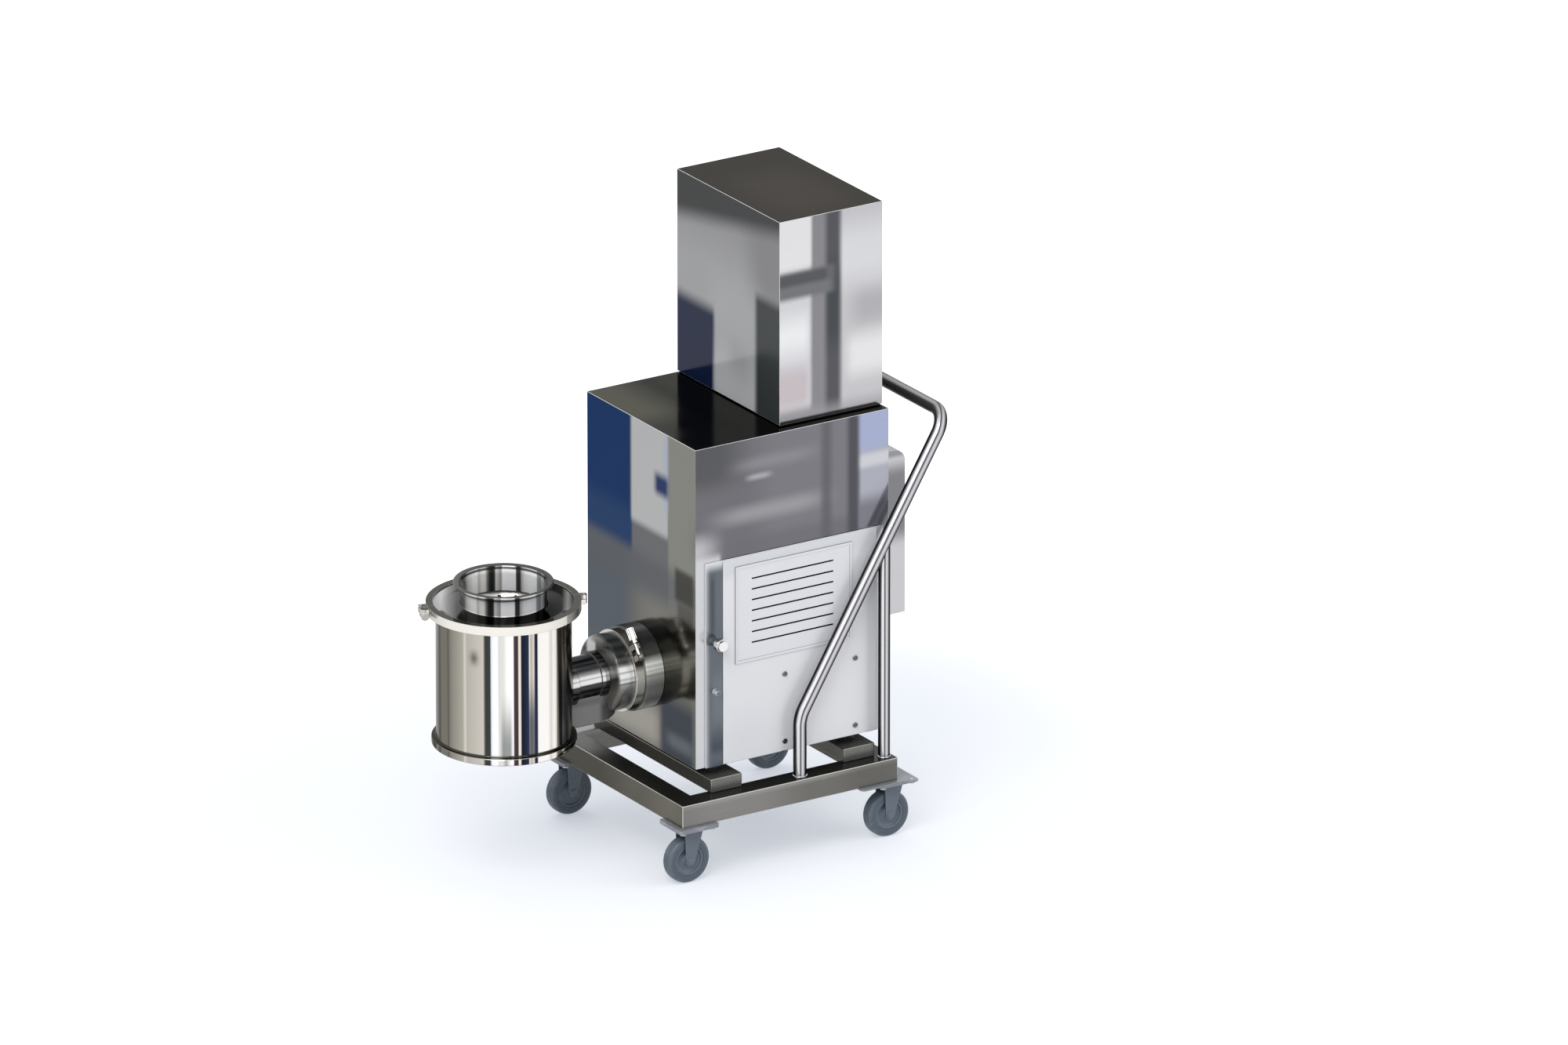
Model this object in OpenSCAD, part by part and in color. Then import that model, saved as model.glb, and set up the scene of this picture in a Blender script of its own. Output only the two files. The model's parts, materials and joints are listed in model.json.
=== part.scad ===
/* [Cabinet] */
// Length of the cabinet, from the mill side to the handle side
cab_l = 470; // [420:1:540]
// Width of the cabinet
cab_w = 420; // [380:1:480]
// Height of the cabinet casing
cab_h = 700; // [640:1:800]
// Thickness of the casing sheet
sheet = 2; // [1:0.1:3]
// Thickness of the base plate
base_t = 8; // [5:0.5:12]

/* [Tower] */
// Length of the tower on top of the cabinet
tower_l = 250; // [200:1:300]
// Width of the tower
tower_w = 395; // [340:1:410]
// Height of the tower casing
tower_h = 442; // [380:1:560]
// Height of the seal strip under the tower
tower_gap = 3; // [2:0.1:5]

/* [Frame] */
// Length of the trolley frame
frame_l = 525; // [500:1:600]
// Width of the trolley frame
frame_w = 525; // [510:1:600]
// Side of the square frame tube
rail = 50; // [40:1:60]
// Wall of the frame tube
rail_wall = 3; // [2:0.1:5]
// How far the frame reaches past the cabinet on the mill side
frame_lead = 65; // [50:1:80]
// Width of a cross bar
bar_w = 76; // [60:1:90]
// Height of a cross bar
bar_h = 30; // [20:1:40]
// How far the first cross bar stands in from the cabinet's mill side
bar_inset_front = 25; // [10:1:60]
// How far the second cross bar stands in from the cabinet's handle side
bar_inset_rear = 45; // [20:1:80]
// How far a cross bar reaches onto each rail
bar_seat = 16; // [8:1:30]
// Diameter of a vibration mount
mount_d = 40; // [30:1:50]
// Height of a vibration mount
mount_h = 21; // [14:1:30]
// Distance of the mounts from the cabinet's side faces
mount_inset = 40; // [30:1:80]

/* [Handle] */
// Outer diameter of the handle tube
tube_d = 28; // [24:0.5:32]
// Wall of the handle tube
tube_wall = 2; // [1.5:0.1:3]
// Distance of the handle legs from the cabinet's mill side
leg_x = 236; // [200:1:280]
// Height of the knee above the floor
knee_z = 308; // [290:1:360]
// Distance of the grip bar from the cabinet's mill side
grip_x = 594; // [570:1:640]
// Lean of the slanted run from upright, in degrees
lean = 31; // [27:0.5:33]
// Centre line radius of the knee bend
knee_r = 70; // [45:1:90]
// Centre line radius of the grip corner
corner_r = 44; // [36:1:60]
// Diameter of the rear posts
post_d = 25; // [20:0.5:28]
// Distance of the rear posts from the frame's handle end
post_inset = 18; // [15:0.5:24]

/* [Castors] */
// Wheel diameter
wheel_d = 100; // [80:1:125]
// Wheel width
wheel_w = 30; // [24:1:36]
// Height from the floor to the underside of the frame
castor_h = 130; // [122:1:160]
// Length of a castor plate
plate_l = 95; // [85:1:105]
// Width of a castor plate
plate_w = 88; // [76:1:95]
// Thickness of a castor plate
plate_t = 4; // [3:0.1:6]
// Distance of the front swivels inside the frame end
swivel_front = 37; // [30:1:45]
// Distance of the swivels inside the frame side
swivel_side = 33.5; // [28:0.5:40]
// Length of the rear packing plates
pack_rear_l = 118; // [110:1:130]
// Distance from the swivel axis back to the wheel axle
trail = 8; // [4:0.5:14]
// Diameter of the rim inside the tyre
rim_d = 66; // [56:1:76]
// Diameter of the wheel axle
axle_d = 8; // [6:0.1:10]
// Diameter of the king pin
king_d = 12; // [10:0.1:14]
// Thickness of the fork metal
fork_t = 3; // [2.5:0.1:4]

/* [Side cover] */
// Distance of the cover from the cabinet's mill side
cover_x = 22; // [16:1:30]
// Length of the cover
cover_l = 432; // [400:1:440]
// Height of the cover
cover_h = 449; // [440:1:480]
// How far the cover stands proud of the cabinet
cover_proud = 4; // [3:0.1:6]
// Width of the polished strip left of the pale panel
strip_w = 41; // [34:1:50]
// Length of the pale panel
face_l = 374; // [340:1:376]
// Thickness of the pale panel
face_t = 2; // [1:0.1:3]
// Length of the vent plate
vent_l = 284; // [260:1:300]
// Height of the vent plate
vent_h = 213; // [200:1:230]
// Distance of the vent plate below the top of the cover
vent_drop = 20; // [10:1:28]
// Distance of the vent plate from the pale panel's edge
vent_inset = 29; // [20:1:40]
// Thickness of the vent plate
vent_t = 1.5; // [1:0.1:2.5]
// Number of vent slots
slot_count = 7; // [4:1:8]
// Length of a vent slot
slot_l = 198; // [150:1:220]
// Height of a vent slot
slot_h = 3; // [2:0.1:5]
// Spacing of the vent slots
slot_pitch = 23.4; // [18:0.1:25]
// Diameter of a cover screw head
screw_d = 11; // [8:0.5:14]
// Diameter of the latch knob
knob_d = 26; // [20:0.5:30]
// How far the latch knob stands out
knob_l = 34; // [24:1:40]
// Height of the latch knob above the bottom of the cabinet
knob_rise = 274; // [240:1:320]

/* [Rear box] */
// Depth of the electrical box on the handle side
ebox_l = 95; // [80:1:105]
// Width of the electrical box
ebox_w = 250; // [200:1:280]
// Height of the electrical box
ebox_h = 360; // [300:1:400]
// Height of the electrical box above the bottom of the cabinet
ebox_rise = 207; // [180:1:240]
// Radius of its rounded top edge
ebox_r = 26; // [15:1:36]
// Bore of the cable gland
gland_bore = 14; // [10:0.5:18]
// Diameter of the cable gland's body
gland_d = 28; // [24:0.5:34]

/* [Drive] */
// Height of the drive axis above the floor
axis_z = 396; // [385:1:420]
// Outer diameter of the wall drum
drum_d = 181; // [170:1:190]
// Length of the wall drum
drum_l = 45; // [36:1:54]
// Bore of the wall drum and of the bell
drum_bore = 124; // [110:1:130]
// Outer diameter of the bell housing
bell_d = 162; // [150:1:168]
// Length of the bell housing
bell_l = 41; // [34:1:50]
// Outer diameter of the drive clamp
dclamp_d = 174; // [168:1:184]
// Outer diameter of the spindle tube
stube_d = 93; // [88:1:100]
// Diameter of the drive spindle
spindle_d = 30; // [26:0.5:34]
// Outer diameter of the spindle bearings
bearing_d = 62; // [58:0.5:68]
// Width of the spindle bearings
bearing_w = 16; // [12:0.5:20]
// Outer diameter of the motor body
motor_d = 184; // [170:1:200]
// Length of the stator body
motor_l = 216; // [180:1:260]
// Number of cooling fins
fin_count = 28; // [16:2:40]
// Number of teeth on each mitre gear
teeth = 20; // [16:4:24]
// Pitch radius of the mitre gears
pitch_r = 24; // [22:0.5:26]

/* [Mill] */
// Distance of the vessel axis from the cabinet's mill side
vessel_x = 333; // [325:1:380]
// Outer diameter of the vessel
vessel_d = 280; // [272:1:290]
// Wall of the vessel
vessel_wall = 3; // [2:0.1:4]
// Height of the vessel, from the outlet rim to the top flange
vessel_h = 298; // [292:1:330]
// How far the outlet rim lies below the drive axis
outlet_drop = 99; // [90:1:110]
// How far the flanges reach past the vessel's wall
flange_reach = 10; // [8:0.5:14]
// Thickness of the vessel's top flange
flange_t = 6; // [4:0.5:8]
// Height of the outlet rim
outlet_rim_h = 15; // [10:0.5:20]
// Thickness of the vessel at its outlet bore
outlet_wall = 2; // [1.5:0.1:3]
// Height of the wider outlet bore
outlet_bore_h = 38; // [30:1:42]
// Thickness of the lid gasket
gasket_t = 2.5; // [1.5:0.1:4]
// Thickness of the lid
lid_t = 3; // [2:0.1:5]
// How far the lid clamp reaches past the flanges
lclamp_reach = 10; // [8:0.5:14]
// Diameter of the inlet throat
inlet_d = 172; // [150:1:176]
// Outer diameter of the inlet lip
inlet_lip_d = 207; // [196:1:212]
// Height of the inlet collar above the lid
inlet_h = 46; // [36:1:60]
// How far the top of the screen stands in from the vessel's wall
screen_inset = 24; // [20:1:28]
// Diameter of the screen at its foot
screen_foot_d = 124; // [112:1:130]
// Height of the screen cone
screen_h = 106; // [100:1:112]
// Rows of holes in the screen
screen_rows = 6; // [4:1:7]
// Holes in each row of the screen
screen_cols = 20; // [12:2:24]
// Diameter of a screen hole
screen_hole_d = 8; // [5:0.5:9]
// Diameter of the impeller shaft
shaft_d = 20; // [18:0.5:22]
// Gap between the impeller blades and the screen
blade_gap = 3; // [2:0.5:6]

/* [Hidden] */
$fn = 64;

// Clearances: a seat inside one body, a gap between bodies, a running shaft, and the overrun of a cut
seat = 0.2;
clear = 0.3;
run_gap = 0.05;
cut = 1;

// Heights that stack up from the floor
frame_z = castor_h;
bar_z = frame_z + rail;
mount_z = bar_z + bar_h;
cab_z = mount_z + mount_h;
tower_z = cab_z + cab_h + tower_gap;
axis_y = cab_w / 2;
frame_x = -frame_lead;
frame_y = (cab_w - frame_w) / 2;
rail_mid = rail / 2;
vessel_z = axis_z - outlet_drop;
vessel_r = vessel_d / 2;
flange_d = vessel_d + 2 * flange_reach;
lclamp_d = flange_d + 2 * lclamp_reach;
outlet_bore = vessel_d - 2 * outlet_wall;
screen_top_d = vessel_d - 2 * screen_inset;
flange_r = flange_d / 2;
vessel_top = vessel_z + vessel_h;
stube_r = stube_d / 2;

// Places of the castors: swivel axes at the four corners of the frame
swivel_rear_x = frame_x + frame_l;
swivel_xs = [frame_x + swivel_front, swivel_rear_x];
swivel_ys = [frame_y + swivel_side, frame_y + frame_w - swivel_side];
swivels = [for (x = swivel_xs) for (y = swivel_ys) [x, y]];

// Lid clamp: the stack that it grips, its lips and its closing bolt
lip_t = 3;
lip_reach = 8;
clamp_wall = 7;
lid_rim_t = 5;
lid_z = vessel_top + gasket_t;
lclamp_r = lclamp_d / 2;
lclamp_z = vessel_top - flange_t - clear - lip_t;
lclamp_h = flange_t + gasket_t + lid_rim_t + 2 * (clear + lip_t);
closure_angle = 160;
lug_w = 12;
lug_h = 16;
lug_gap = 12;
bolt_d = 8;
bolt_out = 11;
lug_reach = clamp_wall + bolt_out + bolt_d / 2;
nut_d = 17;
nut_l = 20;
nut_gap = 0.5;
bolt_eye_d = 12;
bolt_eye_h = 6;
pivot_d = 5;
pivot_y = -(lug_gap + lug_w) / 2;
hinge_out = 8;
hinge_r = 7;
hinge_pin_d = 6;
pin_head_share = 0.58;

// Drive clamp: the two flanges that it grips and its closing bolt
pair_flange_t = 6.5;
pair_flange_r = dclamp_d / 2 - clamp_wall - clear;
dclamp_w = 2 * pair_flange_t + 2 * (clear + lip_t) + seat;
dclamp_angle = 230;
dnut_l = 34;
pair_x = -drum_l - lip_t - 2 * clear - pair_flange_t;
bell_x = pair_x - seat - pair_flange_t - lip_t - 2 * clear;

// Part extents along X, so that the origin lies midway between the lid clamp's nut and the grip bar
closure_tilt = 180 - closure_angle;
lid_bolt_r = lclamp_r + bolt_out;
lid_nut_end = lug_gap / 2 + lug_w + nut_gap + nut_l;
low_x = -vessel_x - (lid_bolt_r + nut_d / 2) * cos(closure_tilt) - lid_nut_end * sin(closure_tilt);
high_x = grip_x + tube_d / 2;
mid_x = (low_x + high_x) / 2;

// Moves a piece from the cabinet's corner to the part's own origin, midway on the floor
module placed() {
  translate([-mid_x, -axis_y, 0]) children();
}

// Turns a piece drawn along Z so that it runs along X, at the drive axis
module on_drive_axis(x) {
  translate([x, axis_y, axis_z]) rotate([0, 90, 0]) children();
}

// Puts a piece on the vessel's axis at a height
module on_vessel_axis(z) {
  translate([-vessel_x, axis_y, z]) children();
}

module ring(r_out, r_in, h) {
  difference() {
    cylinder(r = r_out, h = h);
    translate([0, 0, -cut]) cylinder(r = r_in, h = h + 2 * cut);
  }
}

// A rectangle with true round corners, in two dimensions
module round_rect(l, w, r) {
  translate([r, 0]) square([l - 2 * r, w]);
  translate([0, r]) square([l, w - 2 * r]);
  for (x = [r, l - r])
    for (y = [r, w - r])
      translate([x, y]) circle(r = r);
}

// A folded box of sheet metal, open below
module open_box(l, w, h, t) {
  difference() {
    cube([l, w, h]);
    translate([t, t, -cut]) cube([l - 2 * t, w - 2 * t, h - t + cut]);
  }
}

// Trolley frame: four mitred square tubes, with a weep hole under each
weep_d = 8;
module frame_loop(inset) {
  difference() {
    translate([inset, inset, inset])
      cube([frame_l - 2 * inset, frame_w - 2 * inset, rail - 2 * inset]);
    translate([rail - inset, rail - inset, -cut])
      cube([frame_l - 2 * (rail - inset), frame_w - 2 * (rail - inset), rail + 2 * cut]);
  }
}
module trolley_frame() {
  color("dimgray") translate([frame_x, frame_y, frame_z]) difference() {
    frame_loop(0);
    frame_loop(rail_wall);
    for (p = [[frame_l / 2, rail_mid], [frame_l / 2, frame_w - rail_mid],
              [rail_mid, frame_w / 2], [frame_l - rail_mid, frame_w / 2]])
      translate([p[0], p[1], -cut]) cylinder(d = weep_d, h = rail_wall + 2 * cut);
  }
}

// Cross bars: two rectangular tubes with welded end plates, drilled for the mounts
bar_wall = 3;
bar_y = frame_y + rail - bar_seat;
bar_l = frame_w - 2 * (rail - bar_seat);
bar_xs = [bar_inset_front, cab_l - bar_inset_rear - bar_w];
stud_d = 8;
mount_ys = [mount_inset, cab_w - mount_inset];
module support_bars() {
  color("darkslategray") for (x = bar_xs) difference() {
    translate([x, bar_y, bar_z]) cube([bar_w, bar_l, bar_h]);
    translate([x + bar_wall, bar_y + bar_wall, bar_z + bar_wall])
      cube([bar_w - 2 * bar_wall, bar_l - 2 * bar_wall, bar_h - 2 * bar_wall]);
    for (y = mount_ys)
      translate([x + bar_w / 2, y, mount_z - bar_wall - cut])
        cylinder(d = stud_d + 2 * seat, h = bar_wall + 2 * cut);
  }
}

// Vibration mounts: a waisted rubber body between two washers, with a stud up and a stud down
mount_waist_share = 0.78;
mount_washer_t = 2;
stud_out = 14;
module isolation_mounts() {
  waist = mount_d / 2 * mount_waist_share;
  color("black") for (x = bar_xs) for (y = mount_ys)
    translate([x + bar_w / 2, y, mount_z]) {
      cylinder(d = mount_d, h = mount_washer_t);
      translate([0, 0, mount_washer_t])
        cylinder(r = waist, h = mount_h - 2 * mount_washer_t);
      translate([0, 0, mount_h - mount_washer_t]) cylinder(d = mount_d, h = mount_washer_t);
      translate([0, 0, -stud_out]) cylinder(d = stud_d, h = mount_h + 2 * stud_out);
    }
}

// Push handle: legs up from the rails, a knee, a slanted run, and the grip bar between the corners.
// A fine weld bead runs round each leg where the slant begins.
handle_y = frame_y + rail_mid;
handle_w = frame_w - rail;
knee_t = knee_r * tan(lean / 2);
leg_l = knee_z - knee_t - bar_z;
bead = 0.4;
slant_l = (grip_x - leg_x) / sin(lean) - knee_t - corner_r;
grip_z = knee_z + (grip_x - leg_x) / tan(lean);
module handle_leg(r) {
  cylinder(r = r, h = leg_l);
  translate([knee_r, 0, leg_l]) mirror([1, 0, 0]) rotate([90, 0, 0])
    rotate_extrude(angle = lean) translate([knee_r, 0]) circle(r = r);
}
module grip_corner(r) {
  rotate([0, -90, 0]) rotate_extrude(angle = 90) translate([corner_r, 0]) circle(r = r);
}
module handle_top(r) {
  for (y = [0, handle_w]) translate([0, y, 0]) {
    cylinder(r = r, h = slant_l);
    translate([0, 0, -bead]) cylinder(r = r + bead, h = 2 * bead);
  }
  translate([0, handle_w - corner_r, slant_l]) grip_corner(r);
  translate([0, corner_r, slant_l]) mirror([0, 1, 0]) grip_corner(r);
  translate([0, corner_r, slant_l + corner_r]) rotate([-90, 0, 0])
    cylinder(r = r, h = handle_w - 2 * corner_r);
}
module handle_run(r) {
  translate([leg_x, handle_y, bar_z]) {
    for (y = [0, handle_w]) translate([0, y, 0]) handle_leg(r);
    translate([knee_r, 0, leg_l]) rotate([0, lean, 0]) translate([-knee_r, 0, 0]) handle_top(r);
  }
}
module push_handle() {
  color("silver") difference() {
    handle_run(tube_d / 2);
    handle_run(tube_d / 2 - tube_wall);
  }
}

// Rear posts: from the rails up to the slanted runs, coped to fit them
post_x = frame_x + frame_l - post_inset;
post_top = knee_z + (post_x - leg_x) / tan(lean);
module handle_posts() {
  color("silver") difference() {
    for (y = [0, handle_w]) translate([post_x, handle_y + y, bar_z])
      cylinder(d = post_d, h = post_top - bar_z);
    handle_run(tube_d / 2 + seat / 2);
  }
}

// Packing plates under the frame corners: the rear pair is longer
pack_t = 4;
corner_round = 7;
rear_overhang = 25;
plate_z = frame_z - pack_t - plate_t;
plate_xs = [for (s = swivel_xs) s - plate_l / 2];
module packing_plates() {
  color("slategray") for (y = swivel_ys) {
    translate([plate_xs[0], y - plate_w / 2, frame_z - pack_t])
      linear_extrude(pack_t) round_rect(plate_l, plate_w, corner_round);
    translate([swivel_rear_x + rear_overhang - pack_rear_l, y - plate_w / 2, frame_z - pack_t])
      linear_extrude(pack_t) round_rect(pack_rear_l, plate_w, corner_round);
  }
}

// Castor plates with the upper ball race and the riveted king pin
race_d = 50;
race_t = 4;
king_head_t = 3.5;
king_head_d = 22;
fork_top_z = plate_z - race_t - clear;
fork_top_t = 4;
king_foot_z = fork_top_z - fork_top_t - clear - king_head_t;
plate_bolt_d = 8;
bolt_inset = 12;
bolt_spots = [for (sx = [-1, 1]) for (sy = [-1, 1])
  [sx * (plate_l / 2 - bolt_inset), sy * (plate_w / 2 - bolt_inset)]];
module castor_plates() {
  color("slategray") for (s = swivels) translate([s[0], s[1], 0]) {
    difference() {
      translate([-plate_l / 2, -plate_w / 2, plate_z])
        linear_extrude(plate_t) round_rect(plate_l, plate_w, corner_round);
      for (b = bolt_spots) translate([b[0], b[1], plate_z - cut])
        cylinder(d = plate_bolt_d + 2 * clear, h = plate_t + 2 * cut);
    }
    translate([0, 0, plate_z - race_t]) cylinder(d = race_d, h = race_t);
    translate([0, 0, king_foot_z]) cylinder(d = king_d, h = plate_z - king_foot_z);
    translate([0, 0, king_foot_z]) cylinder(d = king_head_d, h = king_head_t);
  }
}

// Hexagon bolts that hold the castors, with their shanks through both plates
bolt_head_share = 1.7;
bolt_head_t = 5;
module castor_bolts() {
  color("lightsteelblue") for (s = swivels) for (b = bolt_spots)
    translate([s[0] + b[0], s[1] + b[1], plate_z]) {
      translate([0, 0, -bolt_head_t]) cylinder(d = plate_bolt_d * bolt_head_share, h = bolt_head_t, $fn = 6);
      cylinder(d = plate_bolt_d, h = plate_t);
    }
}

// Castor fork: a round top with the lower ball race, two tapering legs and the riveted axle
wheel_gap = 1.5;
hub_gap = 1;
fork_in = wheel_w / 2 + wheel_gap;
fork_foot_r = 11;
fork_half = 22;
axle_head_d = 15;
axle_head_t = 3;
axle_z = wheel_d / 2;
king_clear = king_d / 2 + run_gap;
module fork_leg_outline() {
  polygon([[-fork_half, fork_top_z - fork_t], [fork_half, fork_top_z - fork_t],
           [fork_foot_r - trail, axle_z], [-fork_foot_r - trail, axle_z]]);
  translate([-trail, axle_z]) circle(r = fork_foot_r);
}
module castor_fork(i) {
  translate([swivels[i][0], swivels[i][1], 0]) {
    difference() {
      union() {
        translate([0, 0, fork_top_z - fork_top_t]) cylinder(d = race_d, h = fork_top_t);
        translate([-fork_half, -fork_in - fork_t, fork_top_z - fork_top_t])
          cube([2 * fork_half, 2 * (fork_in + fork_t), fork_top_t]);
      }
      translate([0, 0, fork_top_z - fork_top_t - cut]) cylinder(r = king_clear, h = fork_top_t + 2 * cut);
    }
    for (y = [-fork_in - fork_t, fork_in])
      translate([0, y + fork_t, 0]) rotate([90, 0, 0]) linear_extrude(fork_t) fork_leg_outline();
    translate([-trail, fork_in + fork_t + axle_head_t, axle_z]) rotate([90, 0, 0])
      cylinder(d = axle_d, h = 2 * (fork_in + fork_t + axle_head_t));
    for (y = [-fork_in - fork_t, fork_in + fork_t + axle_head_t])
      translate([-trail, y, axle_z]) rotate([90, 0, 0]) cylinder(d = axle_head_d, h = axle_head_t);
  }
}
module castor_fork_1() { color("slategray") castor_fork(0); }
module castor_fork_2() { color("slategray") castor_fork(1); }
module castor_fork_3() { color("slategray") castor_fork(2); }
module castor_fork_4() { color("slategray") castor_fork(3); }

// Puts a wheel piece, drawn about Z and centred on the wheel's middle plane, on its axle
module on_axle(i) {
  translate([swivels[i][0] - trail, swivels[i][1], axle_z]) rotate([90, 0, 0]) children();
}

// Wheel hub: a turned body with a dished web, on a plain bore
rim_r = rim_d / 2;
hub_dish = 6;
hub_boss_share = 0.34;
hub_dish_share = 0.84;
module castor_hub(i) {
  boss_r = rim_r * hub_boss_share;
  dish_r = rim_r * hub_dish_share;
  half = wheel_w / 2 - hub_gap;
  color("slategray") on_axle(i) difference() {
    translate([0, 0, -half]) cylinder(r = rim_r, h = 2 * half);
    translate([0, 0, -half - cut]) cylinder(r = axle_d / 2 + run_gap, h = 2 * (half + cut));
    for (z = [-half - cut, half - hub_dish]) translate([0, 0, z]) ring(dish_r, boss_r, hub_dish + cut);
  }
}
module castor_hub_1() { castor_hub(0); }
module castor_hub_2() { castor_hub(1); }
module castor_hub_3() { castor_hub(2); }
module castor_hub_4() { castor_hub(3); }

// Tyre: a ring with rounded shoulders round the rim
shoulder_r = 7;
module castor_tyre(i) {
  color("darkslategray") on_axle(i) rotate_extrude() {
    inner = rim_r + seat;
    outer = wheel_d / 2;
    translate([inner, -wheel_w / 2]) square([outer - inner - shoulder_r, wheel_w]);
    translate([inner, shoulder_r - wheel_w / 2]) square([outer - inner, wheel_w - 2 * shoulder_r]);
    for (y = [shoulder_r - wheel_w / 2, wheel_w / 2 - shoulder_r])
      translate([outer - shoulder_r, y]) circle(r = shoulder_r);
  }
}
module castor_tyre_1() { castor_tyre(0); }
module castor_tyre_2() { castor_tyre(1); }
module castor_tyre_3() { castor_tyre(2); }
module castor_tyre_4() { castor_tyre(3); }

// Cabinet casing: open below, with the drive hole, the service opening, and two cable holes
drive_hole_d = 150;
opening_inset = 8;
cable_hole_d = 40;
top_slot = [60, 120];
slot_from_tower = 60;
service_z = cab_z + 2 * opening_inset;
service_l = cover_l - 2 * opening_inset;
service_h = cover_h - 4 * opening_inset;
module cabinet_shell() {
  color("gainsboro") difference() {
    translate([0, 0, cab_z]) open_box(cab_l, cab_w, cab_h, sheet);
    on_drive_axis(-cut) cylinder(d = drive_hole_d, h = sheet + 2 * cut);
    translate([cover_x + opening_inset, -cut, service_z])
      cube([service_l, sheet + 2 * cut, service_h]);
    translate([cab_l - sheet - cut, axis_y, cab_z + ebox_rise + ebox_h / 2]) rotate([0, 90, 0])
      cylinder(d = cable_hole_d, h = sheet + 2 * cut);
    translate([cab_l - slot_from_tower - top_slot[0], axis_y - top_slot[1] / 2, cab_z + cab_h - sheet - cut])
      cube([top_slot[0], top_slot[1], sheet + 2 * cut]);
  }
}

// Base plate: carries the motor and stands on the mounts
module cabinet_base() {
  color("darkgray") difference() {
    translate([sheet + seat, sheet + seat, cab_z])
      cube([cab_l - 2 * (sheet + seat), cab_w - 2 * (sheet + seat), base_t]);
    for (x = bar_xs) for (y = mount_ys)
      translate([x + bar_w / 2, y, cab_z - cut])
        cylinder(d = stud_d + 2 * seat, h = base_t + 2 * cut);
  }
}

// Tower casing with an inward foot flange, set back from the near side and flush with the far side
tower_x = cab_l - tower_l;
tower_y = cab_w - tower_w;
tower_foot = 16;
module tower_shell() {
  color("gainsboro") translate([tower_x, tower_y, tower_z]) {
    open_box(tower_l, tower_w, tower_h, sheet);
    difference() {
      translate([sheet, sheet, 0]) cube([tower_l - 2 * sheet, tower_w - 2 * sheet, sheet]);
      translate([tower_foot, tower_foot, -cut])
        cube([tower_l - 2 * tower_foot, tower_w - 2 * tower_foot, sheet + 2 * cut]);
    }
  }
}

// Dark seal strip that lifts the tower off the cabinet
seal_inset = 4;
module tower_seal() {
  color("black") translate([tower_x, tower_y, cab_z + cab_h]) difference() {
    translate([seal_inset, seal_inset, 0])
      cube([tower_l - 2 * seal_inset, tower_w - 2 * seal_inset, tower_gap]);
    translate([tower_foot, tower_foot, -cut])
      cube([tower_l - 2 * tower_foot, tower_w - 2 * tower_foot, tower_gap + 2 * cut]);
  }
}

// Side cover: a shallow polished pan with its vent window, screw holes, latch bore and a guide stud
face_x = cover_x + strip_w;
vent_x = face_x + vent_inset;
vent_z = cab_z + cover_h - vent_drop - vent_h;
window_inset = 20;
knob_place_share = 0.54;
knob_x = cover_x + strip_w * knob_place_share;
knob_z = cab_z + knob_rise;
knob_shaft_d = 12;
guide_d = 11;
guide_l = 14;
guide_drop = 109;
screw_shank_d = 5;
screw_row_share = [0.40, 0.86];
screw_z_share = [0.05, 0.38];
screw_spots = [for (sx = screw_row_share) for (sz = screw_z_share)
  [face_x + face_l * sx, cab_z + cover_h * sz]];
module through_y(x, z, d) {
  translate([x, sheet + cut, z]) rotate([90, 0, 0]) cylinder(d = d, h = cover_proud + face_t + sheet + 3 * cut);
}
module side_cover() {
  color("silver") {
    difference() {
      translate([cover_x, -cover_proud, cab_z]) cube([cover_l, cover_proud, cover_h]);
      translate([cover_x + sheet, sheet - cover_proud, cab_z + sheet])
        cube([cover_l - 2 * sheet, cover_proud, cover_h - 2 * sheet]);
      translate([vent_x + window_inset, -cover_proud - cut, vent_z + window_inset])
        cube([vent_l - 2 * window_inset, cover_proud + cut, vent_h - 2 * window_inset]);
      for (s = screw_spots) through_y(s[0], s[1], screw_shank_d + 2 * seat);
      through_y(knob_x, knob_z, knob_shaft_d + 2 * run_gap);
    }
    translate([knob_x, -cover_proud, knob_z - guide_drop]) rotate([90, 0, 0])
      cylinder(d = guide_d, h = guide_l);
  }
}

// Pale front panel on the cover
module face_panel() {
  color("lavender") difference() {
    translate([face_x, -cover_proud - face_t, cab_z + sheet])
      cube([face_l, face_t, cover_h - 2 * sheet]);
    translate([vent_x + window_inset, -cover_proud - face_t - cut, vent_z + window_inset])
      cube([vent_l - 2 * window_inset, face_t + 2 * cut, vent_h - 2 * window_inset]);
    for (s = screw_spots) through_y(s[0], s[1], screw_shank_d + 2 * seat);
  }
}

// Vent plate with a raised border and a row of slots
border_w = 6;
border_rise = 0.8;
slot_top_drop = 32;
slot_lead = 40;
module vent_plate() {
  y = -cover_proud - face_t - vent_t;
  color("whitesmoke") difference() {
    union() {
      translate([vent_x, y, vent_z]) cube([vent_l, vent_t, vent_h]);
      difference() {
        translate([vent_x, y - border_rise, vent_z]) cube([vent_l, border_rise, vent_h]);
        translate([vent_x + border_w, y - border_rise - cut, vent_z + border_w])
          cube([vent_l - 2 * border_w, border_rise + cut, vent_h - 2 * border_w]);
      }
    }
    for (i = [0 : slot_count - 1])
      translate([vent_x + slot_lead, y - cut, vent_z + vent_h - slot_top_drop - i * slot_pitch - slot_h / 2])
        cube([slot_l, vent_t + 2 * cut, slot_h]);
  }
}

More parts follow.
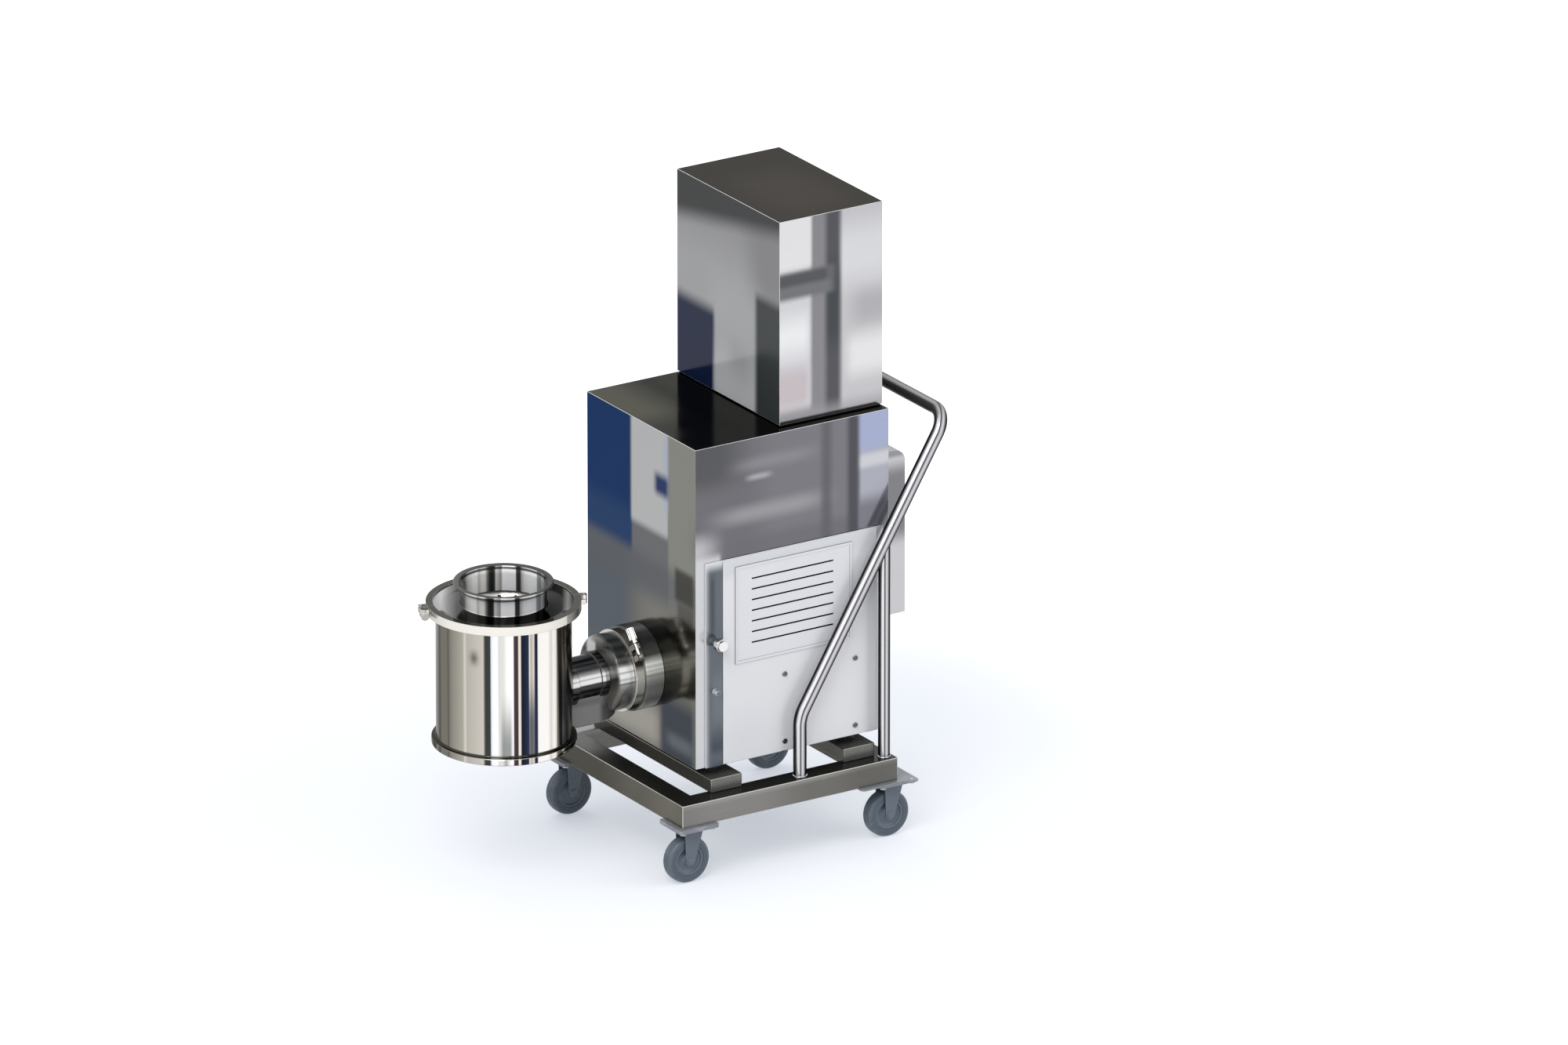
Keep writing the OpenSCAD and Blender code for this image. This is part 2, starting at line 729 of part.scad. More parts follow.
// Pan head screws with a cross slot that hold the pale panel
screw_head_t = 2.5;
slot_w = 1.2;
module cover_screws() {
  color("dimgray") for (s = screw_spots)
    translate([s[0], -cover_proud - face_t, s[1]]) rotate([90, 0, 0]) difference() {
      union() {
        cylinder(d = screw_d, h = screw_head_t);
        translate([0, 0, -face_t - cover_proud]) cylinder(d = screw_shank_d, h = face_t + cover_proud);
      }
      for (a = [0, 90]) rotate([0, 0, a])
        translate([-screw_d / 4, -slot_w / 2, screw_head_t / 2]) cube([screw_d / 2, slot_w, screw_head_t]);
    }
}

// Latch: a stepped knob outside, its shaft, and the cam that grips behind the casing
knob_neck_share = 0.62;
knob_cap_share = 0.86;
knob_step_share = [0.42, 0.36, 0.22];
cam_l = 26;
cam_w = 14;
cam_t = 3;
module latch_knob() {
  base = knob_l * knob_step_share[0];
  band = knob_l * knob_step_share[1];
  color("silver") translate([knob_x, -cover_proud - clear, knob_z]) rotate([90, 0, 0]) {
    cylinder(d = knob_d * knob_neck_share, h = base);
    translate([0, 0, base]) cylinder(d = knob_d, h = band);
    translate([0, 0, base + band]) cylinder(d = knob_d * knob_cap_share, h = knob_l * knob_step_share[2]);
    rotate([180, 0, 0]) cylinder(d = knob_shaft_d, h = cover_proud + sheet + 2 * clear + cam_t);
    translate([-cam_l, -cam_w / 2, -cover_proud - sheet - 2 * clear - cam_t]) cube([cam_l, cam_w, cam_t]);
  }
}

// Electrical box on the handle side: folded sheet with a rounded top edge and a bored foot
module ebox_outline(l, h, r) {
  square([l - r, h]);
  square([l, h - r]);
  translate([l - r, h - r]) circle(r = r);
}
ebox_x = cab_l + seat;
ebox_z = cab_z + ebox_rise;
gland_x = cab_l + ebox_l / 2;
module rear_box() {
  color("lightgray") translate([ebox_x, axis_y + ebox_w / 2, ebox_z]) difference() {
    rotate([90, 0, 0]) linear_extrude(ebox_w) ebox_outline(ebox_l, ebox_h, ebox_r);
    translate([0, -sheet, sheet]) rotate([90, 0, 0]) linear_extrude(ebox_w - 2 * sheet)
      translate([-cut, 0]) ebox_outline(ebox_l - sheet + cut, ebox_h - 2 * sheet, ebox_r - sheet);
    translate([gland_x - ebox_x, -ebox_w / 2, -cut])
      cylinder(d = gland_d * gland_neck_share + 2 * seat, h = sheet + 2 * cut);
  }
}

// Cable gland under the box: a hexagon body, a dome nut and a lock nut inside
gland_body_l = 12;
gland_dome_l = 16;
gland_neck_share = 0.7;
gland_shoulder_share = 0.86;
gland_lock_t = 5;
module cable_gland() {
  color("gray") translate([gland_x, axis_y, ebox_z]) difference() {
    union() {
      translate([0, 0, -gland_body_l]) cylinder(d = gland_d, h = gland_body_l, $fn = 6);
      translate([0, 0, -gland_body_l - gland_dome_l])
        cylinder(d1 = gland_d * gland_neck_share, d2 = gland_d * gland_shoulder_share, h = gland_dome_l);
      cylinder(d = gland_d * gland_neck_share, h = sheet + gland_lock_t);
      translate([0, 0, sheet]) cylinder(d = gland_d, h = gland_lock_t, $fn = 6);
    }
    translate([0, 0, -gland_body_l - gland_dome_l - cut])
      cylinder(d = gland_bore, h = gland_body_l + gland_dome_l + sheet + gland_lock_t + 2 * cut);
  }
}

// Frequency inverter in the tower: a back plate, a finned heat sink and the case
inv_plate = [200, 4, 340];
inv_sink_t = 30;
inv_case = [130, 90, 240];
inv_fins = 9;
inv_fin_t = 3;
inv_rise = 40;
module inverter() {
  x0 = tower_x + (tower_l - inv_plate[0]) / 2;
  y0 = tower_y + tower_w - sheet - seat - inv_plate[1];
  z0 = tower_z + inv_rise;
  case_x = tower_x + (tower_l - inv_case[0]) / 2;
  fin_step = (inv_case[0] - inv_fin_t) / (inv_fins - 1);
  color("slategray") {
    translate([x0, y0, z0]) cube(inv_plate);
    for (i = [0 : inv_fins - 1])
      translate([case_x + i * fin_step, y0 - inv_sink_t, z0 + inv_rise])
        cube([inv_fin_t, inv_sink_t, inv_case[2]]);
    translate([case_x, y0 - inv_sink_t - inv_case[1], z0 + inv_rise]) cube(inv_case);
  }
}

// Lengths along the drive, from the cabinet's mill side: motor pieces inside the cabinet
spigot_l = 12;
shield_t = 18;
motor_x = spigot_l + shield_t;
cowl_l = 52;
stator_bore = 124;
fin_h = 9;
fin_t = 2.4;
rotor_d = 118;
shield_bore = bearing_d;

// Stator body: a tube with cooling fins
module motor_housing() {
  body_r = motor_d / 2 - fin_h;
  color("steelblue") on_drive_axis(motor_x) {
    ring(body_r, stator_bore / 2, motor_l);
    for (i = [0 : fin_count - 1]) rotate([0, 0, (i + 1 / 2) * 360 / fin_count])
      translate([body_r - fin_t / 2, -fin_t / 2, 0]) cube([fin_h, fin_t, motor_l]);
  }
}

// Front and rear motor shields, each bored for a bearing
module motor_shield() {
  ring(motor_d / 2, shield_bore / 2 + seat, shield_t - 2 * seat);
}
module motor_end_shields() {
  color("lightslategray") {
    on_drive_axis(spigot_l + seat) motor_shield();
    on_drive_axis(motor_x + motor_l + seat) motor_shield();
  }
}

// Rotor: the laminated core on its shaft, with the shaft out at both ends
coupling_in = 6;
coupling_x = -drum_l + coupling_in;
coupling_l = 34;
rotor_end = motor_x + motor_l + shield_t + cowl_l / 2;
rotor_core_share = 0.62;
module motor_rotor() {
  core_l = motor_l * rotor_core_share;
  color("gray") {
    on_drive_axis(coupling_x + coupling_l / 2)
      cylinder(d = spindle_d, h = rotor_end - coupling_x - coupling_l / 2);
    on_drive_axis(motor_x + (motor_l - core_l) / 2) cylinder(d = rotor_d, h = core_l);
  }
}

// Cooling fan: a hub with radial blades
fan_blades = 8;
fan_t = 14;
fan_gap = 5;
fan_tip_gap = 14;
fan_root_share = 0.75;
fan_x = motor_x + motor_l + shield_t + fan_gap;
module motor_fan() {
  fan_r = motor_d / 2 - fan_tip_gap;
  root = spindle_d * fan_root_share;
  color("dimgray") on_drive_axis(fan_x) difference() {
    union() {
      cylinder(r = spindle_d, h = fan_t);
      for (i = [0 : fan_blades - 1]) rotate([0, 0, (i + 1 / 2) * 360 / fan_blades])
        translate([root, -fin_t / 2, cut]) cube([fan_r - root, fin_t, fan_t - 2 * cut]);
    }
    translate([0, 0, -cut]) cylinder(d = spindle_d + 2 * run_gap, h = fan_t + 2 * cut);
  }
}

// Fan cowl: a cup with a ring of air slots in its end
cowl_slots = 12;
cowl_slot_share = [0.3, 0.5];
module motor_cowl() {
  r = motor_d / 2;
  color("steelblue") on_drive_axis(motor_x + motor_l + shield_t) difference() {
    cylinder(r = r, h = cowl_l);
    translate([0, 0, -cut]) cylinder(r = r - sheet, h = cowl_l - sheet + cut);
    for (i = [0 : cowl_slots - 1]) rotate([0, 0, i * 360 / cowl_slots])
      translate([r * cowl_slot_share[0], -slot_h, cowl_l - sheet - cut])
        cube([r * cowl_slot_share[1], 2 * slot_h, sheet + 2 * cut]);
  }
}

// Saddle that carries the motor on the base plate
saddle_w = 130;
saddle_t = 24;
saddle_inset = 26;
saddle_rise_share = 1 / 3;
module motor_saddle() {
  foot = cab_z + base_t;
  color("darkgray") difference() {
    union() {
      for (x = [motor_x + saddle_inset, motor_x + motor_l - saddle_inset - saddle_t])
        translate([x, axis_y - saddle_w / 2, foot])
          cube([saddle_t, saddle_w, axis_z - motor_d * saddle_rise_share - foot]);
      translate([motor_x + saddle_inset, axis_y - saddle_w / 2, foot])
        cube([motor_l - 2 * saddle_inset, saddle_w, base_t]);
    }
    on_drive_axis(motor_x - cut) cylinder(r = motor_d / 2 + seat, h = motor_l + 2 * cut);
  }
}

// Jaw coupling: a hub on each shaft and the elastic ring between them
coupling_d = 70;
jaw_t = 12;
module shaft_coupling() {
  hub_l = (coupling_l - jaw_t) / 2;
  color("darkgray") on_drive_axis(coupling_x) {
    ring(coupling_d / 2, spindle_d / 2 + seat, hub_l);
    translate([0, 0, hub_l + seat]) ring(coupling_d / 2 - sheet, spindle_d / 2 + seat, jaw_t - 2 * seat);
    translate([0, 0, hub_l + jaw_t]) ring(coupling_d / 2, spindle_d / 2 + seat, hub_l);
  }
}

// Wall drum: turned, with the spigot through the casing and the flange for the clamp
module wall_flange() {
  color("silver") on_drive_axis(-drum_l) {
    translate([0, 0, pair_x + drum_l]) {
      ring(pair_flange_r, drum_bore / 2, pair_flange_t);
      ring(pair_flange_r - lip_reach, drum_bore / 2, -pair_x - drum_l + cut);
    }
    ring(drum_d / 2, drum_bore / 2, drum_l - seat);
    ring(drive_hole_d / 2 - seat, drum_bore / 2, drum_l + spigot_l);
  }
}

// Bell: its flange, a body with a round shoulder, the front wall, and the arm that cradles the tube
shoulder = 20;
front_wall_t = 8;
front_x = bell_x - bell_l;
arm_w = 76;
arm_end_share = 0.9;
arm_lead = 7;
arm_steps = 6;
module arm_outline() {
  deep = outlet_drop;
  high = bell_d / 2 - arm_lead;
  end_x = -vessel_x + vessel_r * arm_end_share;
  polygon(concat([[end_x, 0], [bell_x, 0]],
                 [for (i = [0 : arm_steps]) let (a = i * 90 / arm_steps)
                   [front_x + bell_l * cos(a), -high - (deep - high) * sin(a)]],
                 [[end_x, -deep]]));
}
module bell_arm() {
  intersection() {
    translate([0, axis_y + arm_w / 2, axis_z]) rotate([90, 0, 0]) linear_extrude(arm_w) arm_outline();
    on_drive_axis(-vessel_x) cylinder(r = outlet_drop, h = vessel_x + bell_x);
  }
}
module bell_body() {
  neck_r = pair_flange_r - lip_reach;
  on_drive_axis(pair_x - seat - pair_flange_t) cylinder(r = pair_flange_r, h = pair_flange_t);
  on_drive_axis(bell_x - cut) cylinder(r = neck_r, h = pair_x - seat - bell_x);
  on_drive_axis(front_x) cylinder(r = bell_d / 2 - shoulder, h = bell_l);
  on_drive_axis(front_x + shoulder) cylinder(d = bell_d, h = bell_l - shoulder);
  on_drive_axis(front_x + shoulder) rotate_extrude()
    translate([bell_d / 2 - shoulder, 0]) circle(r = shoulder);
}
module bell_housing() {
  color("silver") difference() {
    union() {
      bell_body();
      bell_arm();
    }
    on_drive_axis(front_x + front_wall_t) cylinder(d = drum_bore, h = vessel_x);
    on_drive_axis(-vessel_x) cylinder(r = stube_r + seat, h = vessel_x);
    on_drive_axis(front_x - collar_l - seat - cut)
      cylinder(r = stube_r + collar_step + seat, h = collar_l + seat + cut);
    on_drive_axis(-vessel_x) cylinder(r = port_r + clear, h = vessel_r + port_out + clear);
    on_vessel_axis(vessel_z - cut) cylinder(r = vessel_r + clear, h = vessel_h);
    on_vessel_axis(vessel_z - cut) cylinder(r = flange_r + clear, h = outlet_rim_h + cut + clear);
  }
}

// Draws two half rings of channel section, gripping a stack of the given height, along Z
module clamp_halves(r, h) {
  for (a = [0, 180]) rotate([0, 0, a]) difference() {
    intersection() {
      difference() {
        cylinder(r = r, h = h);
        translate([0, 0, -cut]) cylinder(r = r - clamp_wall - lip_reach, h = h + 2 * cut);
        translate([0, 0, lip_t]) cylinder(r = r - clamp_wall, h = h - 2 * lip_t);
      }
      translate([-2 * r, seat, -cut]) cube([4 * r, 2 * r, h + 2 * cut]);
    }
  }
}

// Lugs seated on both sides of the split at +X: a fork for the bolt's pivot, and a slot that it swings into
module clamp_lugs(r, h) {
  bolt_z = (h - bolt_d) / 2 - clear;
  difference() {
    for (y = [-lug_gap / 2 - lug_w, lug_gap / 2])
      translate([r - clamp_wall, y, (h - lug_h) / 2]) cube([lug_reach, lug_w, lug_h]);
    translate([0, 0, -cut]) cylinder(r = r + seat, h = h + 2 * cut);
    translate([r + bolt_out - bolt_eye_d / 2 - clear, -lug_gap - lug_w, bolt_z])
      cube([lug_reach, lug_gap + lug_w, bolt_d + 2 * clear]);
    translate([r + bolt_out - bolt_d / 2 - clear, 0, bolt_z])
      cube([lug_reach, lug_gap + lug_w, bolt_d + 2 * clear]);
    translate([r + bolt_out, pivot_y, -cut]) cylinder(d = pivot_d + seat, h = h + 2 * cut);
  }
}

// Hinge knuckles at -X: one on each half, one above the other
module clamp_knuckle(r, h, side) {
  translate([-r - hinge_out, 0, 0]) cylinder(r = hinge_r, h = h);
  translate([-r - hinge_out, side > 0 ? seat : seat - hinge_r, 0])
    cube([hinge_out + clamp_wall, hinge_r - 2 * seat, h]);
}
module clamp_hinge(r, h) {
  half = (h - seat) / 2;
  difference() {
    union() {
      clamp_knuckle(r, half, 1);
      translate([0, 0, half + seat]) clamp_knuckle(r, half, -1);
    }
    translate([-r - hinge_out, 0, -cut]) cylinder(d = hinge_pin_d + seat, h = h + 2 * cut);
  }
}
module clamp_ring(r, h) {
  clamp_halves(r, h);
  clamp_lugs(r, h);
  clamp_hinge(r, h);
}

// Places of the two clamps
module at_lid_clamp() {
  on_vessel_axis(lclamp_z) rotate([0, 0, closure_angle]) children();
}
module at_drive_clamp() {
  on_drive_axis(-drum_l - clear - dclamp_w) rotate([0, 0, dclamp_angle]) mirror([0, 1, 0]) children();
}
module lid_clamp() {
  color("silver") at_lid_clamp() clamp_ring(lclamp_r, lclamp_h);
}
module drive_clamp() {
  color("silver") at_drive_clamp() clamp_ring(dclamp_d / 2, dclamp_w);
}

// Pins of both clamps: the hinge pin with a head at each end, and the pivot of the closing bolt
module hinge_pin(r, h) {
  translate([-r - hinge_out, 0, -seat]) cylinder(d = hinge_pin_d, h = h + 2 * seat);
  for (z = [-sheet - seat, h + seat])
    translate([-r - hinge_out, 0, z]) cylinder(r = hinge_r * pin_head_share, h = sheet);
  translate([r + bolt_out, pivot_y, (h - lug_h) / 2]) cylinder(d = pivot_d, h = lug_h);
}
module clamp_hinge_pins() {
  color("gray") {
    at_lid_clamp() hinge_pin(lclamp_r, lclamp_h);
    at_drive_clamp() hinge_pin(dclamp_d / 2, dclamp_w);
  }
}

// Closing bolt: an eye on the pivot pin and the shank that ends inside the nut
module clamp_bolt(r, h, l_nut) {
  shank = lug_gap / 2 + lug_w + nut_gap + l_nut / 2 - pivot_y;
  translate([r + bolt_out, pivot_y, h / 2]) difference() {
    union() {
      translate([0, 0, -bolt_eye_h / 2]) cylinder(d = bolt_eye_d, h = bolt_eye_h);
      rotate([-90, 0, 0]) cylinder(d = bolt_d, h = shank);
    }
    translate([0, 0, -bolt_d]) cylinder(d = pivot_d + 2 * run_gap, h = 2 * bolt_d);
  }
}
module lid_clamp_bolt() {
  color("lightgray") at_lid_clamp() clamp_bolt(lclamp_r, lclamp_h, nut_l);
}
module drive_clamp_bolt() {
  color("lightgray") at_drive_clamp() clamp_bolt(dclamp_d / 2, dclamp_w, dnut_l);
}

// Barrel nut turned by hand on the closing bolt
grip_grooves = 12;
groove_d = 2;
module clamp_nut(r, h, l) {
  translate([r + bolt_out, lug_gap / 2 + lug_w + nut_gap, h / 2]) rotate([-90, 0, 0]) difference() {
    cylinder(d = nut_d, h = l);
    translate([0, 0, -cut]) cylinder(r = bolt_d / 2 + run_gap, h = l / 2 + 2 * cut);
    for (i = [0 : grip_grooves - 1]) rotate([0, 0, i * 360 / grip_grooves])
      translate([nut_d / 2, 0, l / 4]) cylinder(d = groove_d, h = l);
  }
}
module lid_clamp_nut() {
  color("white") at_lid_clamp() clamp_nut(lclamp_r, lclamp_h, nut_l);
}
module drive_clamp_nut() {
  color("white") at_drive_clamp() clamp_nut(dclamp_d / 2, dclamp_w, dnut_l);
}

// Spindle tube from the gearbox to the bell, with a collar before the bell and bearing seats
collar_step = 4;
collar_l = 18;
stube_x = -vessel_x + stube_r + collar_step;
spindle_bore_share = 0.78;
module spindle_housing() {
  tube_l = front_x + front_wall_t - stube_x;
  seat_l = bearing_w + 2 * collar_step;
  color("silver") on_drive_axis(stube_x) difference() {
    union() {
      cylinder(r = stube_r, h = tube_l);
      translate([0, 0, tube_l - front_wall_t - seat - collar_l])
        cylinder(r = stube_r + collar_step, h = collar_l);
    }
    translate([0, 0, -cut]) cylinder(d = bearing_d + 2 * run_gap, h = tube_l + 2 * cut);
    translate([0, 0, seat_l]) cylinder(r = stube_r * spindle_bore_share, h = tube_l - 2 * seat_l);
  }
}

// Mitre gear: a cone of the pitch angle with straight grooves, drawn about Z, apex at the origin
pitch_step = 360 / teeth;
tooth = 2 * pitch_r / teeth;
tooth_top_share = 0.75;
tooth_foot_share = 1.05;
face_share = 0.26;
gear_back = 10;
backlash = 0.5;
module mitre_blank() {
  top = tooth * tooth_top_share / sqrt(2);
  small = pitch_r * (1 - face_share);
  rotate_extrude() polygon([
    [0, small - top], [small + top, small - top], [pitch_r + top, pitch_r - top],
    [pitch_r - tooth, pitch_r + tooth], [pitch_r - tooth, pitch_r + gear_back], [0, pitch_r + gear_back]]);
}
module mitre_groove() {
  foot = tooth * tooth_foot_share;
  wide = PI * tooth / 4 + backlash;
  slope_w = wide / 3;
  long = pitch_r * face_share * sqrt(2) + 4 * tooth;
  mid = pitch_r * (1 - face_share / 2);
  translate([mid, 0, mid]) rotate([0, -45, 0]) translate([-long / 2, 0, 0]) rotate([90, 0, 90])
    linear_extrude(long) polygon([[-wide + slope_w, foot], [wide - slope_w, foot],
                                  [wide + slope_w, -foot - tooth], [-wide - slope_w, -foot - tooth]]);
}
module mitre_gear(phase) {
  difference() {
    mitre_blank();
    for (i = [0 : teeth - 1]) rotate([0, 0, (i + phase) * pitch_step]) mitre_groove();
  }
}

// Drive spindle with its mitre pinion cut in one piece
module drive_spindle() {
  color("gray") on_drive_axis(-vessel_x) {
    mitre_gear(0);
    translate([0, 0, pitch_r])
      cylinder(d = spindle_d, h = vessel_x + coupling_x + coupling_l / 2 - seat - pitch_r);
  }
}

// Output gear above the drive axis, on the impeller shaft
module output_gear() {
  color("darkgoldenrod") on_vessel_axis(axis_z) difference() {
    mitre_gear(0.5);
    cylinder(d = shaft_d + 2 * run_gap, h = 2 * pitch_r);
  }
}

// Ball bearings: two on the spindle, two on the impeller shaft and two on the rotor
bearing_gap_share = 0.12;
module bearing(d_in, d_out, w) {
  groove = (d_out - d_in) * bearing_gap_share;
  middle = (d_out + d_in) / 4;
  difference() {
    ring(d_out / 2 - seat / 4, d_in / 2 + run_gap, w);
    for (z = [-cut, w - sheet / 2]) translate([0, 0, z])
      ring(middle + groove / 2, middle - groove / 2, sheet / 2 + cut);
  }
}
hub_r = 36;
hub_rise = 38;
box_rise = 50;
small_bearing_d = 42;
small_bearing_w = 12;
box_top = axis_z + box_rise;
hub_top = box_top + hub_rise;
module ball_bearings() {
  color("lightgray") {
    on_drive_axis(stube_x + collar_step) bearing(spindle_d, bearing_d, bearing_w);
    on_drive_axis(front_x + front_wall_t - collar_step - bearing_w) bearing(spindle_d, bearing_d, bearing_w);
    on_drive_axis(spigot_l + cut) bearing(spindle_d, shield_bore, bearing_w);
    on_drive_axis(motor_x + motor_l + cut) bearing(spindle_d, shield_bore, bearing_w);
    on_vessel_axis(box_top - small_bearing_w) bearing(shaft_d, small_bearing_d, small_bearing_w);
    on_vessel_axis(hub_top - 2 * seal_t - small_bearing_w) bearing(shaft_d, small_bearing_d, small_bearing_w);
  }
}

// Gearbox in the vessel: an upright case, a side neck to the spindle tube and the hub for the shaft
box_r = 48;
box_drop = 48;
box_wall = 8;
seal_t = 4;
module gearbox_body() {
  color("silver") difference() {
    union() {
      on_vessel_axis(axis_z - box_drop) cylinder(r = box_r, h = box_top - axis_z + box_drop);
      on_vessel_axis(box_top - cut) cylinder(r = hub_r, h = hub_top - box_top + cut);
      on_drive_axis(-vessel_x) cylinder(r = stube_r, h = stube_x + vessel_x - seat);
    }
    on_vessel_axis(axis_z - box_drop + box_wall)
      cylinder(r = box_r - box_wall, h = box_top - axis_z + box_drop - box_wall - small_bearing_w);
    on_drive_axis(-vessel_x) cylinder(d = bearing_d + 2 * run_gap, h = stube_x + vessel_x + cut);
    on_vessel_axis(axis_z) cylinder(d = small_bearing_d + 2 * run_gap, h = hub_top - axis_z + cut);
  }
}

// Impeller shaft from the output gear up through the hub
impeller_lift = 3;
impeller_z = hub_top + impeller_lift;
impeller_hub_h = 40;
module output_shaft() {
  foot = axis_z + pitch_r - tooth;
  color("lightgray") on_vessel_axis(foot)
    cylinder(d = shaft_d, h = impeller_z + impeller_hub_h - seat - foot);
}

// Lip seal at the top of the hub
module shaft_seal() {
  color("black") on_vessel_axis(hub_top - seal_t)
    ring(small_bearing_d / 2 - seat / 2, shaft_d / 2 + 2 * run_gap, seal_t);
}

// Impeller: a hub with a cap, two arms, and a bar on each arm that follows the cone
cone_slope = atan2((screen_top_d - screen_foot_d) / 2, screen_h);
ledge_drop = 8;
screen_t = 1.5;
screen_step = screen_t / cos(cone_slope);
screen_z = vessel_top - ledge_drop - screen_h;
arm_count = 2;
blade_w = 12;
blade_t = 9;
blade_top_drop = 16;
foot_arm_h = 12;
foot_arm_t = 8;
impeller_hub_r = 24;
module impeller() {
  foot_z = impeller_z - screen_z;
  wall_r = screen_foot_d / 2 + foot_z * tan(cone_slope) - screen_step;
  bar_r = wall_r - blade_gap / cos(cone_slope) - blade_w * cos(cone_slope);
  bar_z0 = blade_w * sin(cone_slope) + cut;
  bar_len = (screen_h - foot_z - blade_top_drop) / cos(cone_slope);
  color("lightgray") on_vessel_axis(impeller_z) difference() {
    union() {
      cylinder(r = impeller_hub_r, h = impeller_hub_h);
      translate([0, 0, impeller_hub_h])
        cylinder(r1 = impeller_hub_r, r2 = shaft_d / 2, h = foot_arm_h);
      for (i = [0 : arm_count - 1]) rotate([0, 0, (i + 1 / 2) * 360 / arm_count]) {
        translate([shaft_d, -foot_arm_t / 2, 0])
          cube([bar_r + blade_w / 2 - shaft_d, foot_arm_t, foot_arm_h]);
        translate([bar_r, -blade_t / 2, bar_z0]) rotate([0, cone_slope, 0])
          cube([blade_w, blade_t, bar_len]);
      }
    }
    translate([0, 0, -cut]) cylinder(d = shaft_d + 2 * run_gap, h = impeller_hub_h + cut);
  }
}

// Conical screen with its rim, round holes and an open foot for the hub
screen_rim_t = 2;
foot_clear = 3;
module cone_shell() {
  rim_out = vessel_r - vessel_wall - seat;
  top_in = screen_top_d / 2 - screen_step;
  rotate_extrude() polygon([
    [screen_foot_d / 2, 0], [screen_top_d / 2, screen_h],
    [rim_out, screen_h], [rim_out, screen_h + screen_rim_t],
    [top_in, screen_h + screen_rim_t], [top_in, screen_h],
    [screen_foot_d / 2 - screen_step, screen_t], [hub_r + foot_clear, screen_t], [hub_r + foot_clear, 0]]);
}
module screen() {
  color("darkgray") on_vessel_axis(screen_z) difference() {
    cone_shell();
    for (j = [0 : screen_rows - 1]) for (i = [0 : screen_cols - 1]) {
      h = screen_h * (j + 1) / (screen_rows + 1);
      r = screen_foot_d / 2 + h * tan(cone_slope);
      rotate([0, 0, (i + j / 2) * 360 / screen_cols]) translate([r, 0, h]) rotate([0, 90 + cone_slope, 0])
        cylinder(d = screen_hole_d, h = 4 * screen_t, center = true);
    }
  }
}

// Vessel: a thin shell, the outlet rim, the top flange, the screen ledge and the port for the tube
ledge_w = 12;
ledge_t = 3;
port_r = stube_r + 8;
port_out = 12;
module vessel_body() {
  r_in = vessel_r - vessel_wall;
  color("silver") difference() {
    union() {
      on_vessel_axis(vessel_z) cylinder(r = vessel_r, h = vessel_h);
      on_vessel_axis(vessel_z) cylinder(r = flange_r, h = outlet_rim_h);
      on_vessel_axis(vessel_top - flange_t) cylinder(r = flange_r, h = flange_t);
      on_drive_axis(-vessel_x) cylinder(r = port_r, h = vessel_r + port_out);
    }
    on_vessel_axis(vessel_z - cut) cylinder(d = outlet_bore, h = outlet_bore_h + cut);
    on_vessel_axis(vessel_z) cylinder(r = r_in, h = vessel_h - ledge_drop - ledge_t);
    on_vessel_axis(vessel_z) cylinder(r = r_in - ledge_w, h = vessel_h + cut);
    on_vessel_axis(vessel_top - ledge_drop) cylinder(r = r_in, h = ledge_drop + cut);
    on_drive_axis(-vessel_x) cylinder(r = stube_r + seat, h = vessel_r + port_out + cut);
  }
}

// Lid: a flanged rim, a shallow dish and the inlet collar with its lip
dish_share = 0.9;
dish_drop = 4;
lip_h = 5;
collar_wall = 3;
module vessel_lid() {
  r_rim = flange_r - lip_reach;
  r_dish = r_rim * dish_share;
  r_neck = inlet_d / 2 + collar_wall;
  r_lip = inlet_lip_d / 2;
  top = lid_rim_t + inlet_h;
  flare = r_lip - r_neck;
  color("silver") on_vessel_axis(lid_z) rotate_extrude() polygon([
    [inlet_d / 2, -dish_drop], [inlet_d / 2, top - flare], [inlet_d / 2 + flare / 2, top],
    [r_lip, top], [r_lip, top - lip_h], [r_neck, top - flare],
    [r_neck, lid_t], [r_dish, lid_t - dish_drop], [r_rim, lid_rim_t], [flange_r, lid_rim_t],
    [flange_r, 0], [r_rim - lid_t, 0], [r_dish, -dish_drop]]);
}

// Dark gasket between the vessel's flange and the lid's rim
module lid_gasket() {
  r_in = flange_r - lip_reach - lid_t + seat;
  color("black") on_vessel_axis(vessel_top + seat / 2) ring(flange_r - seat, r_in, gasket_t - seat);
}

placed() trolley_frame();
placed() support_bars();
placed() isolation_mounts();
placed() push_handle();
placed() handle_posts();
placed() packing_plates();
placed() castor_plates();
placed() castor_bolts();
placed() castor_fork_1();
placed() castor_fork_2();
placed() castor_fork_3();
placed() castor_fork_4();
placed() castor_hub_1();
placed() castor_hub_2();
placed() castor_hub_3();
placed() castor_hub_4();
placed() castor_tyre_1();
placed() castor_tyre_2();
placed() castor_tyre_3();
placed() castor_tyre_4();
placed() cabinet_shell();
placed() cabinet_base();
placed() tower_shell();
placed() tower_seal();
placed() side_cover();
placed() face_panel();
placed() vent_plate();
placed() cover_screws();
placed() latch_knob();
placed() rear_box();
placed() cable_gland();
placed() inverter();
placed() motor_housing();
placed() motor_end_shields();
placed() motor_rotor();
placed() motor_fan();
placed() motor_cowl();
placed() motor_saddle();
placed() shaft_coupling();
placed() wall_flange();
placed() bell_housing();
placed() drive_clamp();
placed() drive_clamp_bolt();
placed() drive_clamp_nut();
placed() spindle_housing();
placed() drive_spindle();
placed() ball_bearings();
placed() gearbox_body();
placed() output_gear();
placed() output_shaft();
placed() shaft_seal();
placed() impeller();
placed() screen();
placed() vessel_body();
placed() vessel_lid();
placed() lid_gasket();
placed() lid_clamp();
placed() clamp_hinge_pins();
placed() lid_clamp_bolt();
